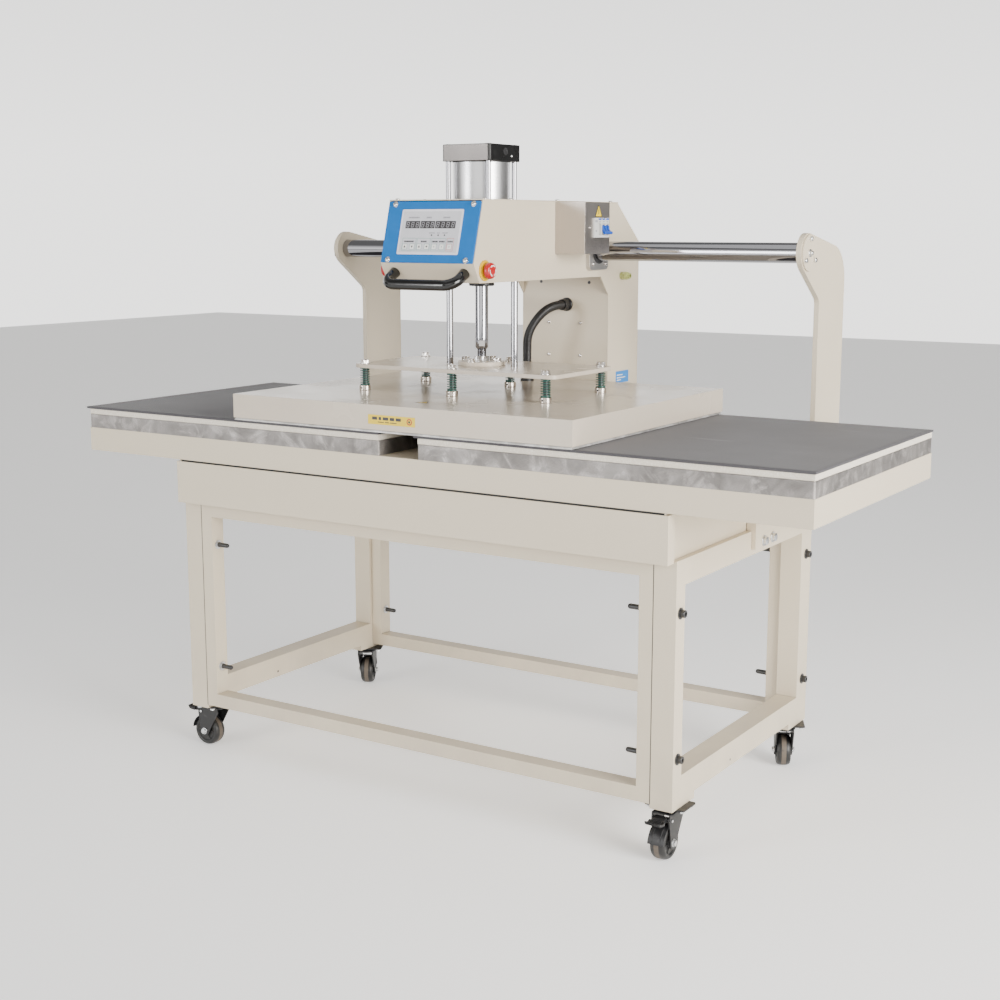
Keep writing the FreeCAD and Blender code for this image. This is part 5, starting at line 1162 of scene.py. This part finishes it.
# ---- foam pads and mats
def soft_slab(name, low, high, edge, wobble, look, seed, sag=0.0):
    """A slab of soft sheet with rounded edges and a cut line that wanders a little."""
    x0, y0, z0 = low
    x1, y1, z1 = high
    nx, ny = 60, 46
    rim = rim_points(x0, x1, y0, y1, nx, ny)
    n = len(rim)
    cx, cy = (x0 + x1) / 2, (y0 + y1) / 2
    layers = [(z0, edge * 0.8), (z0 + edge * 0.35, edge * 0.2), (z0 + (z1 - z0) * 0.5, 0.0),
              (z1 - edge * 0.35, edge * 0.15), (z1, edge * 0.8)]
    points = []
    for level, (z, inset) in enumerate(layers):
        for k, (x, y) in enumerate(rim):
            s = k / n * 2 * math.pi
            wander = wobble * (0.5 * math.sin(9 * s + seed)
                               + 0.3 * math.sin(23 * s + 2 * seed + level * 0.4)
                               + 0.2 * math.sin(61 * s + level))
            pull = inset + wobble + wander
            far_x, far_y = (x - cx) / ((x1 - x0) / 2), (y - cy) / ((y1 - y0) / 2)
            points.append((x - pull * max(-1, min(1, far_x * 1.02)),
                           y - pull * max(-1, min(1, far_y * 1.02)), z))
    loops = walls(n, len(layers))

    def on_rim(i, j):
        if j == 0:
            return i
        if i == nx:
            return nx + j
        return 2 * nx + ny - i if j == ny else (2 * nx + 2 * ny - j) % n

    def grid(first, z_of):
        """Closes the ring of points that begins at first with a grid."""
        base = len(points)

        def corner(i, j):
            inside = 0 < i < nx and 0 < j < ny
            return base + (i - 1) * (ny - 1) + j - 1 if inside else first + on_rim(i, j)

        for i in range(1, nx):
            for j in range(1, ny):
                fx, fy = i / nx, j / ny
                left, right, front, rear = (points[corner(*end)]
                                            for end in ((0, j), (nx, j), (i, 0), (i, ny)))
                points.append((left[0] * (1 - fx) + right[0] * fx,
                               front[1] * (1 - fy) + rear[1] * fy, z_of(fx, fy)))
        for i in range(nx):
            for j in range(ny):
                loops.append((corner(i, j), corner(i + 1, j), corner(i + 1, j + 1), corner(i, j + 1)))

    grid(0, lambda fx, fy: z0)
    grid(n * (len(layers) - 1), lambda fx, fy: z1 - sag * (
        0.5 + 0.5 * math.sin(5 * fx + seed) * math.sin(4 * fy + seed)))
    shape = Shape()
    shape.faces(points, loops, ORIGIN)
    return shape.finish(name, "stand", look, sharp=50)


foam_low, foam_high = heights("foam_pads")
mats_low, mats_high = heights("heat_mats")
BED, GAP = 900, 104  # a bed's length, and the gap between the beds
for side, name in ((-1, "left"), (1, "right")):
    x0, x1 = sorted((side * (GAP / 2 + 0.5), side * (GAP / 2 + BED - 0.5)))
    pad = soft_slab("foam_pad_" + name, (x0, -349.5, foam_low), (x1, 349.5, foam_high), 1.6, 0.5,
                    "foam", side + 2.0)
    left = side * (BED + GAP) / 2 - BED / 2 - 9
    mat_piece = soft_slab("heat_mat_" + name, (left, -352, mats_low), (left + 911, 352, mats_high),
                          1.0, 0.7, "mat_grey", side + 5.0, sag=0.35)
    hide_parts("foam_pads")
    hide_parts("heat_mats")


# ---- stage
floor_mesh = bpy.data.meshes.new("floor")
floor_mesh.from_pydata([(-14, -14, 0), (14, -14, 0), (14, 14, 0), (-14, 14, 0)], [], [(0, 1, 2, 3)])
floor = bpy.data.objects.new("floor", floor_mesh)
bpy.context.collection.objects.link(floor)
PALE = (1.0, 0.99, 0.97, 1.0)
pale = Look("pale_floor", (0.97, 0.97, 0.97), 0.7)
pale.mottle((0.95, 0.95, 0.95), 0.8, 0.6)
pale.roughen(3.0, 0.05)
pale.shader.inputs["Emission Color"].default_value = PALE
pale.shader.inputs["Emission Strength"].default_value = 0.42
floor_mesh.materials.append(pale.done())
floor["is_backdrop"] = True

world = bpy.data.worlds.new("studio")
bpy.context.scene.world = world
world.use_nodes = True
room = world.node_tree.nodes["Background"]
room.inputs[0].default_value = PALE
sky = Nodes(world.node_tree)
direction = sky.add("TexCoord").outputs["Generated"]
height = sky.add("SeparateXYZ", Vector=direction).outputs[2]
strength = sky.span(height, 0.04, 0.55, 2.4, 0.3)
# dark parts of the room, which the chrome and black parts reflect
for dark, edge, core, depth in (((0.6, 0.8, 0.0), 0.80, 0.93, 0.9),
                                  ((-0.25, -0.97, 0.0), 0.955, 0.985, 0.9),
                                  ((-0.96, -0.28, 0.0), 0.93, 0.97, 0.9),
                                  ((0.80, -0.60, 0.0), 0.965, 0.985, 0.85)):
    dim = sky.span(sky.dot(direction, dark), edge, core, 1.0, 1.0 - depth, "SMOOTHSTEP")
    strength = sky.times(dim, strength)
sky.put(room.inputs[1], strength)


def soft_light(name, spot, size, power, color=(1, 1, 1)):
    """A rectangle of light that faces the middle of the machine."""
    data = bpy.data.lights.new(name, "AREA")
    data.shape = "RECTANGLE"
    data.size, data.size_y = size
    data.energy = power
    data.color = color
    lamp = bpy.data.objects.new(name, data)
    lamp.location = spot
    lamp.rotation_euler = (Vector((0, 0, 0.8)) - Vector(spot)).to_track_quat("-Z", "Y").to_euler()
    bpy.context.collection.objects.link(lamp)


soft_light("key_right", (4.2, -1.2, 1.7), (2.2, 2.2), 330, (1.0, 0.97, 0.93))
soft_light("top", (0.2, -0.3, 3.6), (3.4, 2.4), 22)
soft_light("front", (-2.2, -4.8, 1.5), (1.6, 2.0), 110)

camera_data = bpy.data.cameras.new("camera")
camera_data.sensor_width = 36
camera_data.lens = 55.15
camera = bpy.data.objects.new("camera", camera_data)
camera.location = at(1962.7, -2995.5, 1291.2)
camera.rotation_euler = (math.radians(90 - 10.2), 0, math.radians(32.7))
bpy.context.collection.objects.link(camera)
bpy.context.scene.camera = camera

low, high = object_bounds()
